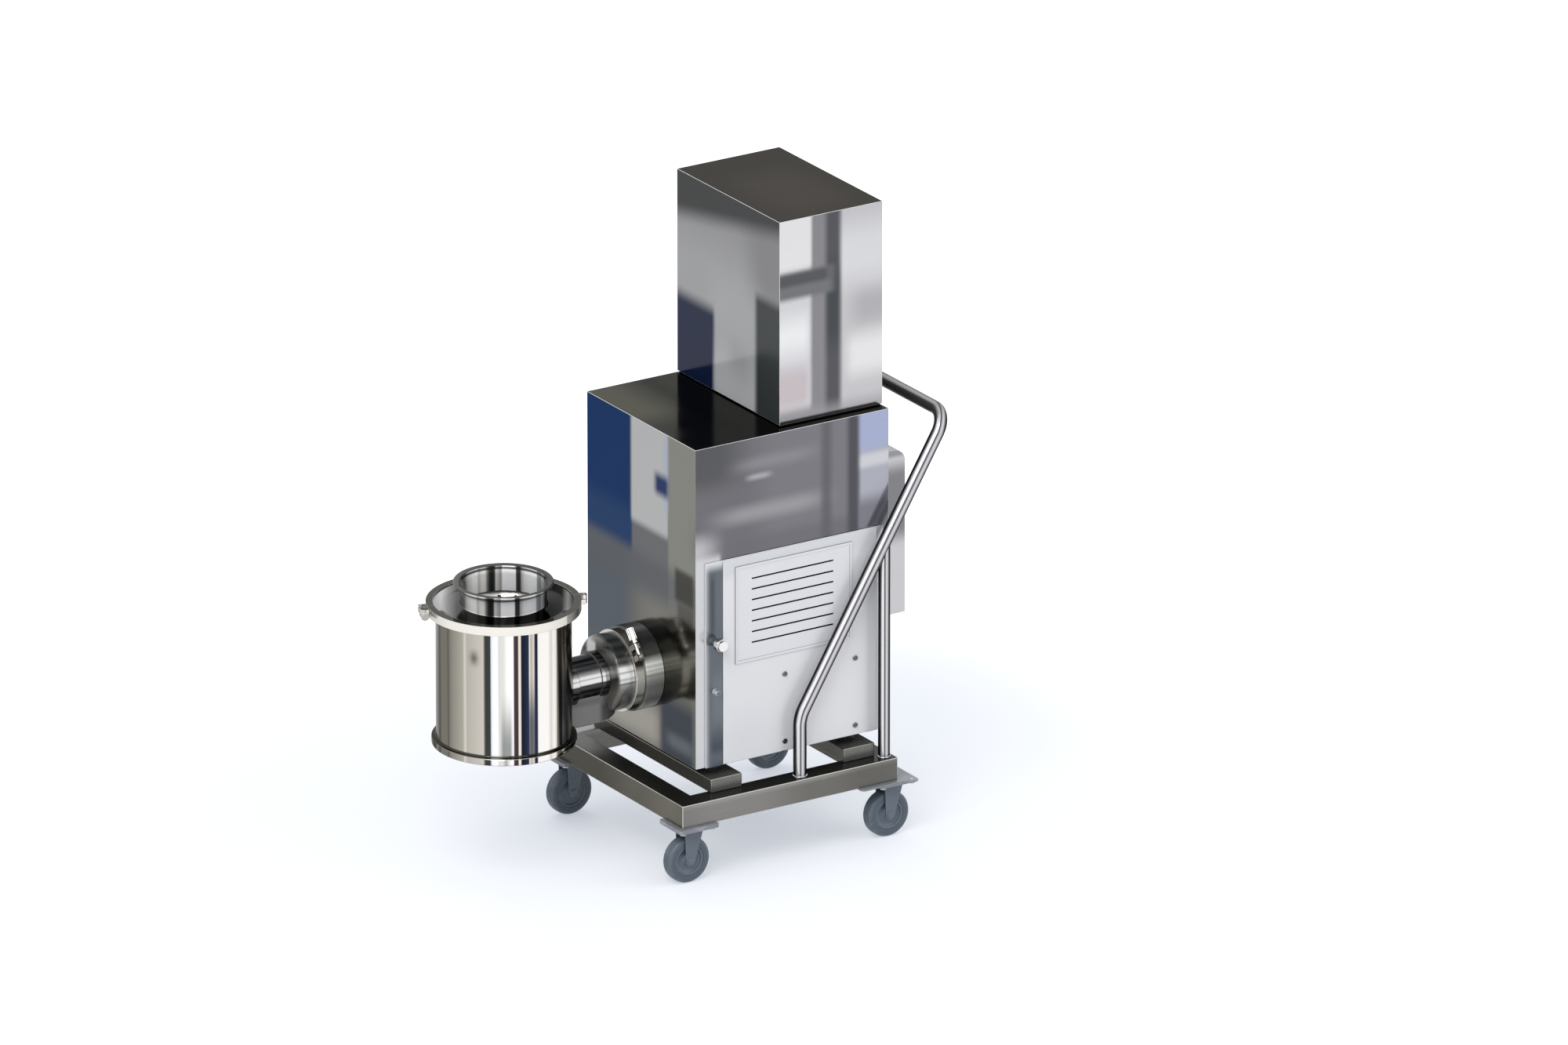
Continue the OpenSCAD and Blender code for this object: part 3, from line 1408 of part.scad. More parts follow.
placed() lid_clamp_nut();
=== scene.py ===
import json
import math

import bmesh
import bpy
import numpy as np
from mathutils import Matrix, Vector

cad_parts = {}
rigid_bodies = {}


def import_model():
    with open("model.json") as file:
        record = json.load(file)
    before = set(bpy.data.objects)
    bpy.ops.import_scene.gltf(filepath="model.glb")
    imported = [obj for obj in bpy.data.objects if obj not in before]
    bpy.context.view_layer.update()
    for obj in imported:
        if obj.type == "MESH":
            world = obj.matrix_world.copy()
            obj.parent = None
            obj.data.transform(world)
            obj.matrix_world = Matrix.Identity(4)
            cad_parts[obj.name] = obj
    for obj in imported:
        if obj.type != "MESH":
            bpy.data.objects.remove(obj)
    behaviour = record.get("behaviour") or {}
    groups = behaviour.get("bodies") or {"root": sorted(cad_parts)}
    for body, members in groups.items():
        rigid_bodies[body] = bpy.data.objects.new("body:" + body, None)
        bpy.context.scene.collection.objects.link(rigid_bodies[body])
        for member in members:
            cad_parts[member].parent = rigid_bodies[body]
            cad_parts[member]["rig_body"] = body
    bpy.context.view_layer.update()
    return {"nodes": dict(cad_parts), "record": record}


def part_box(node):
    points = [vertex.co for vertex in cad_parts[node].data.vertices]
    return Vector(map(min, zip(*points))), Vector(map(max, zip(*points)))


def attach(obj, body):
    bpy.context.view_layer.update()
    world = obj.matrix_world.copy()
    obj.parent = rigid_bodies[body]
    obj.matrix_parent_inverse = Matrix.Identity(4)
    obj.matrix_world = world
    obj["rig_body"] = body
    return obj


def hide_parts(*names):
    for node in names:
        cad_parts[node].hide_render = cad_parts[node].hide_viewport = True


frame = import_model()
nodes = frame["nodes"]
slot_of = {part["node"]: part["material_slot"] for part in frame["record"]["subparts"]}

# Lengths are written in millimetres from the cabinet's near left corner on the floor, as the part's source has them
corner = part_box("cabinet_shell")[0]
origin = np.array([corner.x, corner.y, 0.0])
UP, ALONG, CROSS = (0, 0, 1), (1, 0, 0), (0, 1, 0)
VESSEL = (-333.0, 210.0)  # x and y of the vessel's upright axis
AXIS = (210.0, 396.0)  # y and z of the drive's level axis
RIGHT = (0.8443, -0.5358, 0.0)  # level, along which the painted reflection streaks of upright bodies are ordered
NEARWARD = (-0.5358, -0.8443, 0.0)  # level and square to it, towards the near left corner
RISE = (0.0, 0.301, 0.9536)  # square to the drive's axis, along which its painted reflection streaks are ordered
LIT = (-0.35, -0.45, 0.82)  # where small metal's painted highlight is brightest
FAR = 9000.0  # past everything, for the open sides of a box
WELD_METRES = 2e-6  # points nearer than this are one
FINE_BRUSHING, SHEET_BRUSHING, TURNING = 0.000006, 0.00001, 0.00002  # depths of the metals' surfaces in metres


def at(points):
    """Row frame metres of points in millimetres: the cabinet's corner plus a thousandth of each."""
    return origin + np.asarray(points, float) / 1000.0


def rgb(code):
    """Linear colour of a hexadecimal one, channel by channel along the standard screen curve."""
    v = np.array([int(code[i : i + 2], 16) for i in (1, 3, 5)]) / 255.0
    linear = np.where(v <= 0.04045, v / 12.92, ((v + 0.055) / 1.055) ** 2.4)
    return (*linear.tolist(), 1.0)


# ---- Node trees ----

MOST_STOPS = 32  # of one colour ramp


class Net:
    """A node tree with short calls: each adds one node, joins its inputs and gives back an output."""

    def __init__(self, tree):
        self.tree = tree
        tree.nodes.clear()

    def join(self, socket, value):
        if isinstance(value, bpy.types.NodeSocket):
            self.tree.links.new(value, socket)
        else:
            socket.default_value = value

    def add(self, kind, inputs, **settings):
        made = self.tree.nodes.new(kind)
        for key, value in settings.items():
            setattr(made, key, value)
        for key, value in inputs.items():
            self.join(made.inputs[key], value)
        return made

    def calc(self, operation, a, b=0.0, clamp=False):
        return self.add("ShaderNodeMath", {0: a, 1: b}, operation=operation, use_clamp=clamp).outputs[0]

    def vector(self, operation, a, b):
        return self.add("ShaderNodeVectorMath", {0: a, 1: b}, operation=operation).outputs[0]

    def dot(self, a, b):
        return self.add("ShaderNodeVectorMath", {0: a, 1: b}, operation="DOT_PRODUCT").outputs[1]

    def times(self, a, b):
        return self.calc("MULTIPLY", a, b)

    def split(self, vector):
        return self.add("ShaderNodeSeparateXYZ", {0: vector}).outputs

    def noise(self, point, scale, detail):
        return self.add("ShaderNodeTexNoise", {"Vector": point, "Scale": scale, "Detail": detail}).outputs["Fac"]

    def mix(self, amount, a, b, blend="MIX"):
        made = self.add("ShaderNodeMix", {0: amount, 6: a, 7: b}, data_type="RGBA", blend_type=blend)
        return made.outputs[2]

    def lay(self, colour, mask, amount, tone):
        """The tone over the colour, as far as the mask times the amount."""
        return self.mix(self.times(mask, amount), colour, rgb(tone))

    def fade(self, value, low, high):
        made = self.add("ShaderNodeMapRange", {0: value, 1: low, 2: high}, interpolation_type="SMOOTHSTEP")
        return made.outputs[0]

    def ramp(self, value, stops):
        """A colour ramp from a table of places and tones; two ramps share a table longer than one of them holds."""
        stops = list(dict(stops).items())
        if len(stops) > MOST_STOPS:
            half = len(stops) // 2
            beyond = self.calc("GREATER_THAN", value, stops[half][0])
            return self.mix(beyond, self.ramp(value, stops[: half + 1]), self.ramp(value, stops[half:]))
        made = self.add("ShaderNodeValToRGB", {0: value})
        bar = made.color_ramp.elements
        while len(bar) < len(stops):
            bar.new(0.5)
        for element, (place, tone) in zip(bar, stops):
            element.position = place
            element.color = rgb(tone)
        return made.outputs[0]

    def use(self, shared, inputs):
        made = self.add("ShaderNodeGroup", {}, node_tree=shared)
        for key, value in inputs.items():
            self.join(made.inputs[key], value)
        return made.outputs


def shared_tree(name, inputs, outputs):
    """A shader node group with the named inputs and outputs, and a Net to fill it."""
    tree = bpy.data.node_groups.new(name, "ShaderNodeTree")
    for label, (kind, default) in inputs.items():
        tree.interface.new_socket(name=label, in_out="INPUT", socket_type=kind).default_value = default
    for label in outputs:
        tree.interface.new_socket(name=label, in_out="OUTPUT", socket_type="NodeSocketFloat")
    net = Net(tree)
    net.given = net.add("NodeGroupInput", {}).outputs
    net.result = net.add("NodeGroupOutput", {}).inputs
    return net


NUMBER, ARROW = "NodeSocketFloat", "NodeSocketVector"
POINT = (ARROW, (0, 0, 0))
FACES = {"Left": (0, -1), "Right": (0, 1), "Near": (1, -1), "Far": (1, 1), "Top": (2, 1), "Under": (2, -1)}

# Which way a surface faces: one mask for each side, and Edge for what turns between them
net = shared_tree("face_masks", {"Normal": (ARROW, UP)}, [*FACES, "Edge"])
parts = net.split(net.given["Normal"])
total = 0.0
for face, (part, sign) in FACES.items():
    mask = net.fade(net.times(parts[part], sign), 0.9, 0.99)
    net.join(net.result[face], mask)
    total = net.calc("ADD", mask, total)
net.join(net.result["Edge"], net.calc("SUBTRACT", 1.0, total, clamp=True))
face_masks = net.tree

# A box with blurred sides: the product of a rise at its low corner and a fall at its high corner on each axis
net = shared_tree(
    "soft_box", {"Point": POINT, "Low": POINT, "High": (ARROW, (1, 1, 1)), "Soft": (ARROW, (0.01,) * 3)}, ["Mask"]
)
mask = 1.0
for label, falls in (("Low", False), ("High", True)):
    before = net.vector("SUBTRACT", net.given[label], net.given["Soft"])
    after = net.vector("ADD", net.given[label], net.given["Soft"])
    step = net.add("ShaderNodeMapRange", {}, data_type="FLOAT_VECTOR", interpolation_type="SMOOTHSTEP")
    vectors = [s for s in step.inputs if s.type == "VECTOR"]
    for socket, value in zip(vectors, (net.given["Point"], before, after, (0, 0, 0), (1, 1, 1))):
        net.join(socket, value)
    for value in net.split(next(s for s in step.outputs if s.type == "VECTOR")):
        mask = net.times(mask, net.calc("SUBTRACT", 1.0, value) if falls else value)
net.join(net.result["Mask"], mask)
soft_box = net.tree

# Brushed grain: noise stretched along the brushing, with a slow cloud over it
net = shared_tree(
    "brushed",
    {"Point": POINT, "Stretch": (ARROW, (20, 20, 900)), "Strength": (NUMBER, 0.06), "Polish": (NUMBER, 0.2)},
    ["Tint", "Roughness", "Height"],
)
lines = net.noise(net.vector("MULTIPLY", net.given["Point"], net.given["Stretch"]), 1.0, 3.0)
cloud = net.noise(net.given["Point"], 7.0, 2.0)
both = net.calc("ADD", net.calc("SUBTRACT", lines, 0.5), net.calc("SUBTRACT", cloud, 0.5))
net.join(net.result["Tint"], net.calc("ADD", 1.0, net.times(both, net.given["Strength"])))
rough = net.calc("ADD", net.given["Polish"], net.times(both, 0.12), clamp=True)
net.join(net.result["Roughness"], rough)
net.join(net.result["Height"], lines)
brushed = net.tree

# Where a point lies between the two sides of a round body, from 0 to 1 along a direction
net = shared_tree(
    "across", {"Point": POINT, "Centre": POINT, "Direction": (ARROW, ALONG), "Half": (NUMBER, 0.1)}, ["Place"]
)
reach = net.dot(net.vector("SUBTRACT", net.given["Point"], net.given["Centre"]), net.given["Direction"])
share = net.calc("DIVIDE", reach, net.times(net.given["Half"], 2.0))
net.join(net.result["Place"], net.calc("ADD", 0.5, share))
across = net.tree

# How far a surface is turned towards a direction, from 0 to 1
net = shared_tree("turned_towards", {"Normal": (ARROW, UP), "Direction": (ARROW, ALONG)}, ["Place"])
share = net.times(net.dot(net.given["Normal"], net.given["Direction"]), 0.5)
net.join(net.result["Place"], net.calc("ADD", 0.5, share))
turned_towards = net.tree

# Dust and handling marks: two sizes of noise, kept above a level
net = shared_tree("handled", {"Point": POINT, "Level": (NUMBER, 0.55)}, ["Marks"])
wide = net.noise(net.given["Point"], 9.0, 4.0)
fine = net.noise(net.given["Point"], 90.0, 3.0)
both = net.calc("ADD", net.times(wide, 0.7), net.times(fine, 0.3))
net.join(net.result["Marks"], net.fade(both, net.given["Level"], net.calc("ADD", net.given["Level"], 0.15)))
handled = net.tree

finish = {}


def begin(slot):
    """A new material for a slot of the record, with its Object coordinates and normal ready."""
    material = bpy.data.materials.new(slot)
    material.use_nodes = True
    finish[slot] = material
    net = Net(material.node_tree)
    coordinates = net.add("ShaderNodeTexCoord", {}).outputs
    net.point, net.normal = coordinates["Object"], coordinates["Normal"]
    return net


def close(net, colour, roughness, metallic, height, depth, coat=0.0, gloss=0.5):
    """The Principled shader at the end of a material, with a bump; a metal's grazing shine is toned down."""
    shader = net.add("ShaderNodeBsdfPrincipled", {"Base Color": colour, "Roughness": roughness, "Metallic": metallic})
    shader.inputs["Coat Weight"].default_value = coat
    shader.inputs["Specular IOR Level"].default_value = gloss
    if metallic:
        shader.inputs["Specular Tint"].default_value = (0.6, 0.6, 0.6, 1.0)
    bump = net.add("ShaderNodeBump", {"Height": height, "Strength": 1.0, "Distance": depth})
    net.join(shader.inputs["Normal"], bump.outputs["Normal"])
    net.add("ShaderNodeOutputMaterial", {"Surface": shader.outputs[0]})


def grained(net, colour, stretch, strength, polish):
    """Brushed grain over a colour: the colour times the grain's tint, with the grain's roughness and height."""
    grain = net.use(brushed, {"Point": net.point, "Stretch": stretch, "Strength": strength, "Polish": polish})
    return net.mix(1.0, colour, grain["Tint"], "MULTIPLY"), grain["Roughness"], grain["Height"]


def box_mask(net, point, low, high, soft):
    """Mask of a blurred box between two corners, in millimetres."""
    numbers = {"Low": tuple(at(low)), "High": tuple(at(high)), "Soft": tuple(np.array(soft) / 1000.0)}
    return net.use(soft_box, {"Point": point, **numbers})["Mask"]


def patched(net, colour, patches):
    """The colour with blurred boxes of other tones laid over it, each with its corners, softness, tone and amount."""
    for low, high, soft, tone, amount in patches:
        colour = net.lay(colour, box_mask(net, net.point, low, high, soft), amount, tone)
    return colour


def window(net, face, a0, a1, b0, b1, soft_a, soft_b, lean=0.0):
    """Mask of a blurred rectangle on one face, in millimetres: a and b are the two axes in that face, and b rises by
    the lean times a."""
    flat = [i for i in range(3) if i != FACES[face][0]]
    low, high, soft = [-FAR] * 3, [FAR] * 3, [1.0] * 3
    for axis, (lo, hi, s) in zip(flat, ((a0, a1, soft_a), (b0, b1, soft_b))):
        low[axis], high[axis], soft[axis] = lo, hi, s
    point = net.point
    if lean:
        run = net.calc("SUBTRACT", net.split(point)[flat[0]], float(origin[flat[0]]))
        rise = net.add("ShaderNodeCombineXYZ", {flat[1]: net.times(run, lean)}).outputs[0]
        point = net.vector("SUBTRACT", point, rise)
    return box_mask(net, point, low, high, soft)


def sheet_metal(slot, tones, panes=(), stretch=(12, 12, 700), strength=0.05, polish=0.14, dulled=None):
    """Sheet with a painted tone on each side for the shade and reflections it shows there, painted highlights on its
    folded edges, blurred panes of painted reflections, painted shade and painted highlights, and brushed grain; dulled
    sides scatter more and mirror less."""
    net = begin(slot)
    side = net.use(face_masks, {"Normal": net.normal})
    # Each side gets its painted shade and reflection tone; where the surface turns between sides the Edge tone is a
    # painted highlight
    colour = rgb(tones["Edge"])
    for face in FACES:
        colour = net.mix(side[face], colour, rgb(tones.get(face, tones["Near"])))
    for face, a0, a1, b0, b1, soft_a, soft_b, tone, amount, *lean in panes:
        mask = net.times(window(net, face, a0, a1, b0, b1, soft_a, soft_b, *lean), side[face])
        colour = net.lay(colour, mask, amount, tone)
    colour, rough, height = grained(net, colour, stretch, strength, polish)
    metallic = 1.0
    for face, amount in (dulled or {}).items():
        metallic = net.calc("SUBTRACT", metallic, net.times(side[face], amount))
    close(net, colour, rough, metallic, height, SHEET_BRUSHING, gloss=0.2)


def reflection_streaked(slot, centre, direction, half, stops, top, under, axis=2, patches=(), metallic=1.0):
    """Round polished steel with painted reflections: light and dark streaks run along the body, ordered across it, and
    its end faces have painted runs of their own; an upright body's top is all metal."""
    net = begin(slot)
    body = {"Centre": tuple(at(centre)), "Direction": direction, "Half": half / 1000.0}
    place = net.use(across, {"Point": net.point, **body})["Place"]
    along = net.split(net.normal)[axis]
    upper = net.fade(along, 0.35, 0.8)
    lower = net.fade(net.times(along, -1.0), 0.35, 0.8)
    colour = net.mix(upper, net.ramp(place, stops), net.ramp(place, top))
    colour = patched(net, net.mix(lower, colour, net.ramp(place, under)), patches)
    stretch = [260.0] * 3
    stretch[axis] = 4.0
    colour, rough, height = grained(net, colour, tuple(stretch), 0.04, 0.1)
    metal = net.calc("MAXIMUM", upper, metallic) if axis == 2 else metallic
    close(net, colour, rough, metal, height, FINE_BRUSHING, gloss=0.2)


def painted_sheen_metal(slot, direction, stops, polish=0.1, patches=(), metallic=1.0, behind=None):
    """Small bright metal with painted shade and painted highlights: darker below and lighter above, by how far each
    surface turns towards a direction, with a painted reflection run of its own where it looks back."""
    net = begin(slot)
    place = net.use(turned_towards, {"Normal": net.normal, "Direction": direction})["Place"]
    colour = net.ramp(place, stops)
    if behind:
        fronts = net.use(turned_towards, {"Normal": net.normal, "Direction": NEARWARD})["Place"]
        colour = net.mix(net.fade(fronts, 0.38, 0.44), net.ramp(place, behind), colour)
    colour, rough, height = grained(net, patched(net, colour, patches), (120, 120, 120), 0.05, polish)
    close(net, colour, rough, metallic, height, FINE_BRUSHING, gloss=0.2)


def worked_metal(slot, tone, stretch, polish=0.3, strength=0.12):
    """Machined metal inside the machine: one tone with turning marks and handling marks."""
    net = begin(slot)
    marks = net.use(handled, {"Point": net.point, "Level": 0.5})["Marks"]
    colour = net.lay(rgb(tone), marks, 0.3, "#6b6a66")
    colour, rough, height = grained(net, colour, stretch, strength, polish)
    close(net, colour, rough, 1.0, height, TURNING)


def moulded(slot, tone, pale_tone, roughness, grain=1400.0, depth=0.00004, coat=0.0):
    """Paint, rubber or plastic: a fine skin grain, paler edges that are part rubbed wear and part painted highlight,
    and a little dust.
    """
    net = begin(slot)
    skin = net.noise(net.point, grain, 2.0)
    marks = net.use(handled, {"Point": net.point, "Level": 0.48})["Marks"]
    edge = net.use(face_masks, {"Normal": net.normal})["Edge"]
    # Paler edges: part rubbed wear, part painted highlight; the same paler tone also tints the dust marks
    pale_edges = net.times(edge, net.calc("ADD", 0.25, net.times(marks, 0.5)))
    colour = net.lay(net.mix(pale_edges, rgb(tone), rgb(pale_tone)), marks, 0.22, pale_tone)
    scatter = net.times(net.calc("SUBTRACT", marks, 0.5), 0.16)
    close(net, colour, net.calc("ADD", roughness, scatter, clamp=True), 0.0, skin, depth, coat)


# ---- Finishes, one for each slot of the record ----

# Cabinet: the dark top and the side tones are painted shade and reflection, the navy panes a painted reflection of
# something blue, the pale panes painted highlights and the dark panes painted shade
sheet_metal(
    "cabinet_steel",
    {
        "Left": "#6b6d6f", "Near": "#7f7e83", "Top": "#33332e", "Right": "#84868c", "Far": "#8d9096",
        "Under": "#3a3a38", "Edge": "#f0f0f0",
    },
    [
        ("Left", -60, 480, 200, 560, 60, 60, "#6f6e69", 0.8),
        ("Left", -60, 200, 380, 560, 60, 50, "#85837a", 0.6),
        ("Left", 250, 480, 380, 640, 50, 60, "#535c66", 0.8),
        ("Left", 140, 350, 235, 315, 36, 30, "#a4a198", 0.85),
        ("Left", 10, 136, 210, 360, 14, 30, "#3b424b", 0.9),
        ("Left", 10, 110, 252, 282, 24, 14, "#6c7178", 0.7),
        ("Left", 248, 480, 642, 990, 8, 18, "#1b3560", 1.0),
        ("Left", 248, 480, 642, 725, 8, 30, "#2a4266", 0.9),
        ("Left", 425, 480, 642, 990, 5, 30, "#3f567c", 0.6),
        ("Left", 105, 248, 705, 990, 7, 12, "#b2b4b4", 1.0),
        ("Left", 100, 122, 760, 930, 8, 30, "#a6aec0", 0.8),
        ("Left", -60, 105, 560, 990, 7, 24, "#888981", 0.9),
        ("Left", -60, 480, 560, 640, 30, 26, "#5d6064", 0.7),
        ("Left", 105, 156, 792, 836, 12, 13, "#303d63", 1.0),
        ("Left", 8, 79, 581, 651, 9, 9, "#42413c", 0.9),
        ("Left", 8, 70, 500, 580, 9, 12, "#54534d", 0.8),
        ("Near", -60, 160, 640, 990, 50, 40, "#747378", 1.0),
        ("Near", 70, 280, 862, 886, 50, 14, "#939297", 0.8),
        ("Near", -60, 100, 843, 990, 50, 30, "#5a5b5e", 0.9),
        ("Near", 128, 180, 840, 851, 16, 6, "#b9b8bc", 0.8),
        ("Near", 60, 306, 752, 784, 60, 16, "#a3a2a6", 0.85),
        ("Near", 60, 500, 600, 716, 60, 16, "#727176", 0.8),
        ("Near", -60, 40, 600, 735, 40, 25, "#c9c9cd", 0.9),
        ("Near", 306, 330, 600, 990, 11, 20, "#66656b", 0.85),
        ("Near", 397, 500, 600, 990, 7, 9, "#b2b4be", 1.0),
        ("Near", 397, 500, 850, 990, 7, 16, "#aab4d2", 1.0),
        ("Near", 397, 500, 813, 842, 8, 9, "#d6d7dc", 0.9),
        ("Near", 397, 500, 600, 745, 8, 22, "#7b7b84", 0.9),
        ("Near", 370, 397, 600, 990, 9, 9, "#54535a", 0.95),
        ("Near", -60, 60, 200, 690, 5, 12, "#d6d8da", 0.98),
        ("Top", -60, 90, 200, 480, 55, 60, "#5b5a50", 0.9),
        ("Top", 120, 160, 60, 480, 18, 60, "#23231f", 0.5),
        ("Right", -60, 480, 231, 500, 60, 120, "#6c6e73", 0.7),
        ("Right", 80, 180, 231, 990, 24, 60, "#a9acb2", 0.6),
        ("Far", 60, 180, 231, 990, 30, 60, "#b9bcc2", 0.7),
        ("Far", 300, 360, 231, 990, 16, 60, "#5f6268", 0.7),
    ],
    dulled={"Near": 0.5, "Edge": 0.7},
)
# Tower: the side tones and panes are painted reflections and painted shade; the navy pane is a painted reflection of
# something blue
sheet_metal(
    "tower_steel",
    {
        "Left": "#9c9c9d", "Near": "#88878b", "Top": "#38342d", "Right": "#8b8d93", "Far": "#93969b",
        "Under": "#3a3a38", "Edge": "#f2f2f2",
    },
    [
        ("Left", -60, 150, 1180, 1400, 60, 70, "#868687", 0.8),
        ("Left", 130, 480, 980, 1250, 60, 70, "#adadad", 0.9),
        ("Left", 100, 290, 900, 1180, 40, 60, "#b4b5b5", 0.85),
        ("Left", 150, 215, 940, 1050, 24, 40, "#8f9092", 0.6),
        ("Left", -60, 480, 1352, 1600, 60, 26, "#3c3d3d", 1.0, -0.168),
        ("Left", 277, 480, 900, 1110, 9, 20, "#0b1d40", 1.0),
        ("Left", 117, 277, 900, 1010, 12, 70, "#d6d6d7", 0.9),
        ("Left", -60, 117, 900, 1192, 11, 16, "#3d4142", 1.0),
        ("Near", 367, 520, 900, 1500, 8, 9, "#c0c0c3", 1.0),
        ("Near", 367, 520, 1215, 1340, 8, 50, "#d5d6d8", 0.95),
        ("Near", 400, 520, 1120, 1190, 30, 30, "#a8a8ab", 0.8),
        ("Near", 385, 520, 1010, 1095, 20, 30, "#e0e0e1", 0.95),
        ("Near", 150, 296, 960, 1500, 7, 14, "#cbccd0", 1.0),
        ("Near", 150, 296, 1268, 1500, 6, 12, "#dededf", 1.0),
        ("Near", 150, 290, 1085, 1160, 12, 40, "#e8e9ea", 0.9),
        ("Near", 150, 290, 965, 1050, 14, 24, "#c0b6ba", 0.9),
        ("Near", 332, 367, 900, 1500, 10, 9, "#58595d", 1.0),
        ("Near", 335, 364, 1090, 1262, 9, 40, "#464b4f", 0.8),
        ("Near", 150, 350, 1203, 1262, 16, 9, "#747577", 1.0),
        ("Near", 150, 340, 1232, 1258, 16, 8, "#56575a", 0.9),
        ("Near", 150, 520, 900, 955, 9, 22, "#9c9a9d", 0.8),
        ("Top", 260, 420, 60, 300, 60, 80, "#45403a", 0.9),
        ("Right", 120, 220, 900, 1500, 24, 60, "#b4b7bc", 0.7),
        ("Far", 300, 360, 900, 1500, 18, 60, "#bfc2c7", 0.7),
    ],
    dulled={"Left": 0.85, "Edge": 0.7},
)
# Service cover: the dark slate strip at its left is a painted reflection in the polished jamb; the darker sides are
# painted shade
sheet_metal(
    "cover_polish",
    {
        "Near": "#e4e6ea", "Left": "#e2e4e8", "Right": "#8a8d92", "Top": "#e8e8ea", "Under": "#56585c",
        "Far": "#77797e", "Edge": "#e4e5e8",
    },
    [
        ("Near", 23, 70, 200, 668, 12, 14, "#646b73", 0.97),
        ("Near", 33, 44, 520, 650, 6, 20, "#474c53", 0.7),
        ("Near", 40, 70, 330, 430, 8, 24, "#7b8289", 0.6),
        ("Near", 34, 70, 200, 300, 9, 30, "#434b56", 0.8),
        ("Near", 30, 70, 236, 262, 9, 10, "#6f7680", 0.5),
    ],
    polish=0.2,
    dulled={"Left": 0.85, "Near": 0.5, "Edge": 0.6},
)
# Pale face: its slightly darker and paler panes are painted shade and painted light, its darker sides painted shade
sheet_metal(
    "pale_face",
    {"Near": "#f3f4f6", "Left": "#a7a9ae", "Right": "#b4b6ba", "Top": "#f4f4f4", "Under": "#8f9196", "Edge": "#f8f8f8"},
    [
        ("Near", 0, 470, 640, 690, 60, 16, "#e4e6ea", 0.8),
        ("Near", 300, 470, 231, 420, 60, 60, "#fafafa", 0.8),
        ("Near", 60, 160, 231, 330, 50, 50, "#ebecf0", 0.8),
    ],
    stretch=(8, 8, 600),
    polish=0.32,
    strength=0.03,
    dulled={"Near": 0.9, "Left": 0.8, "Edge": 0.7},
)
# Vent plate: its darker edge, top and under tones are painted shade on the raised border and slot sides
sheet_metal(
    "vent_sheet",
    {"Near": "#f1f2f5", "Left": "#8d8f94", "Right": "#9a9ca1", "Top": "#77797e", "Under": "#5b5d62", "Edge": "#7c7e83"},
    stretch=(8, 8, 600),
    polish=0.32,
    strength=0.03,
    dulled={"Near": 0.9},
)
# Rear box: its side tones and panes are painted shade and painted reflection
sheet_metal(
    "box_steel",
    {
        "Near": "#c6c6c9", "Left": "#77797d", "Right": "#a3a5a9", "Top": "#c9cacc", "Far": "#96989c",
        "Under": "#55565a", "Edge": "#b9babd",
    },
    [
        ("Near", 400, 600, 606, 764, 40, 24, "#7c7d80", 0.95),
        ("Near", 400, 600, 784, 830, 40, 6, "#8d8e91", 0.9),
        ("Near", 400, 505, 430, 606, 9, 40, "#a0a1a5", 0.7),
        ("Right", 100, 200, 430, 800, 30, 60, "#c4c6ca", 0.8),
    ],
    polish=0.26,
)
# Base: its darker underside and side tones and its top pane are painted shade
sheet_metal(
    "base_steel",
    {"Near": "#77787a", "Top": "#8b8c8e", "Under": "#4f5052", "Left": "#6e6f71", "Edge": "#a9aaac"},
    [("Top", 60, 400, 60, 360, 60, 60, "#7f8082", 0.6)],
    polish=0.32,
)
# Frame: the dark tops are a painted reflection of the cabinet's dark underside, the pale pane at the far left top
# corner a painted highlight, and the other panes painted shade and reflection
sheet_metal(
    "frame_steel",
    {
        "Near": "#757470", "Left": "#66645b", "Top": "#2b2b29", "Right": "#6e6c66", "Far": "#62605a",
        "Under": "#2c2b28", "Edge": "#d8d6cf",
    },
    [
        ("Near", -70, 180, 120, 190, 80, 20, "#8f8e8c", 0.8),
        ("Near", -70, 480, 172, 190, 60, 5, "#a5a4a0", 0.6),
        ("Near", 330, 480, 120, 190, 60, 20, "#62615d", 0.6),
        ("Left", 200, 480, 120, 190, 80, 20, "#4a483f", 0.8),
        ("Left", -60, 60, 120, 190, 60, 20, "#7a786e", 0.7),
        ("Top", -70, 20, 300, 480, 24, 90, "#7c7b78", 0.85),
        ("Top", -70, 70, 425, 480, 20, 8, "#c9c9c9", 0.9),
        ("Top", -70, 480, -30, 40, 60, 30, "#1f1f1d", 0.7),
    ],
    stretch=(10, 10, 300),
    polish=0.24,
    strength=0.12,
    dulled={"Near": 0.4, "Left": 0.4, "Top": 0.75, "Edge": 0.6},
)
# Bars: their darker tops and top pane are painted reflection and painted shade
sheet_metal(
    "bar_steel",
    {
        "Near": "#7b7a76", "Left": "#66655f", "Top": "#4a4a47", "Right": "#64635d", "Far": "#6b6a64",
        "Under": "#2c2b28", "Edge": "#a5a39b",
    },
    [("Top", -60, 480, -60, 60, 60, 40, "#5a5955", 0.8)],
    stretch=(300, 10, 300),
    polish=0.26,
    strength=0.12,
    dulled={"Top": 0.75, "Near": 0.4, "Left": 0.4},
)

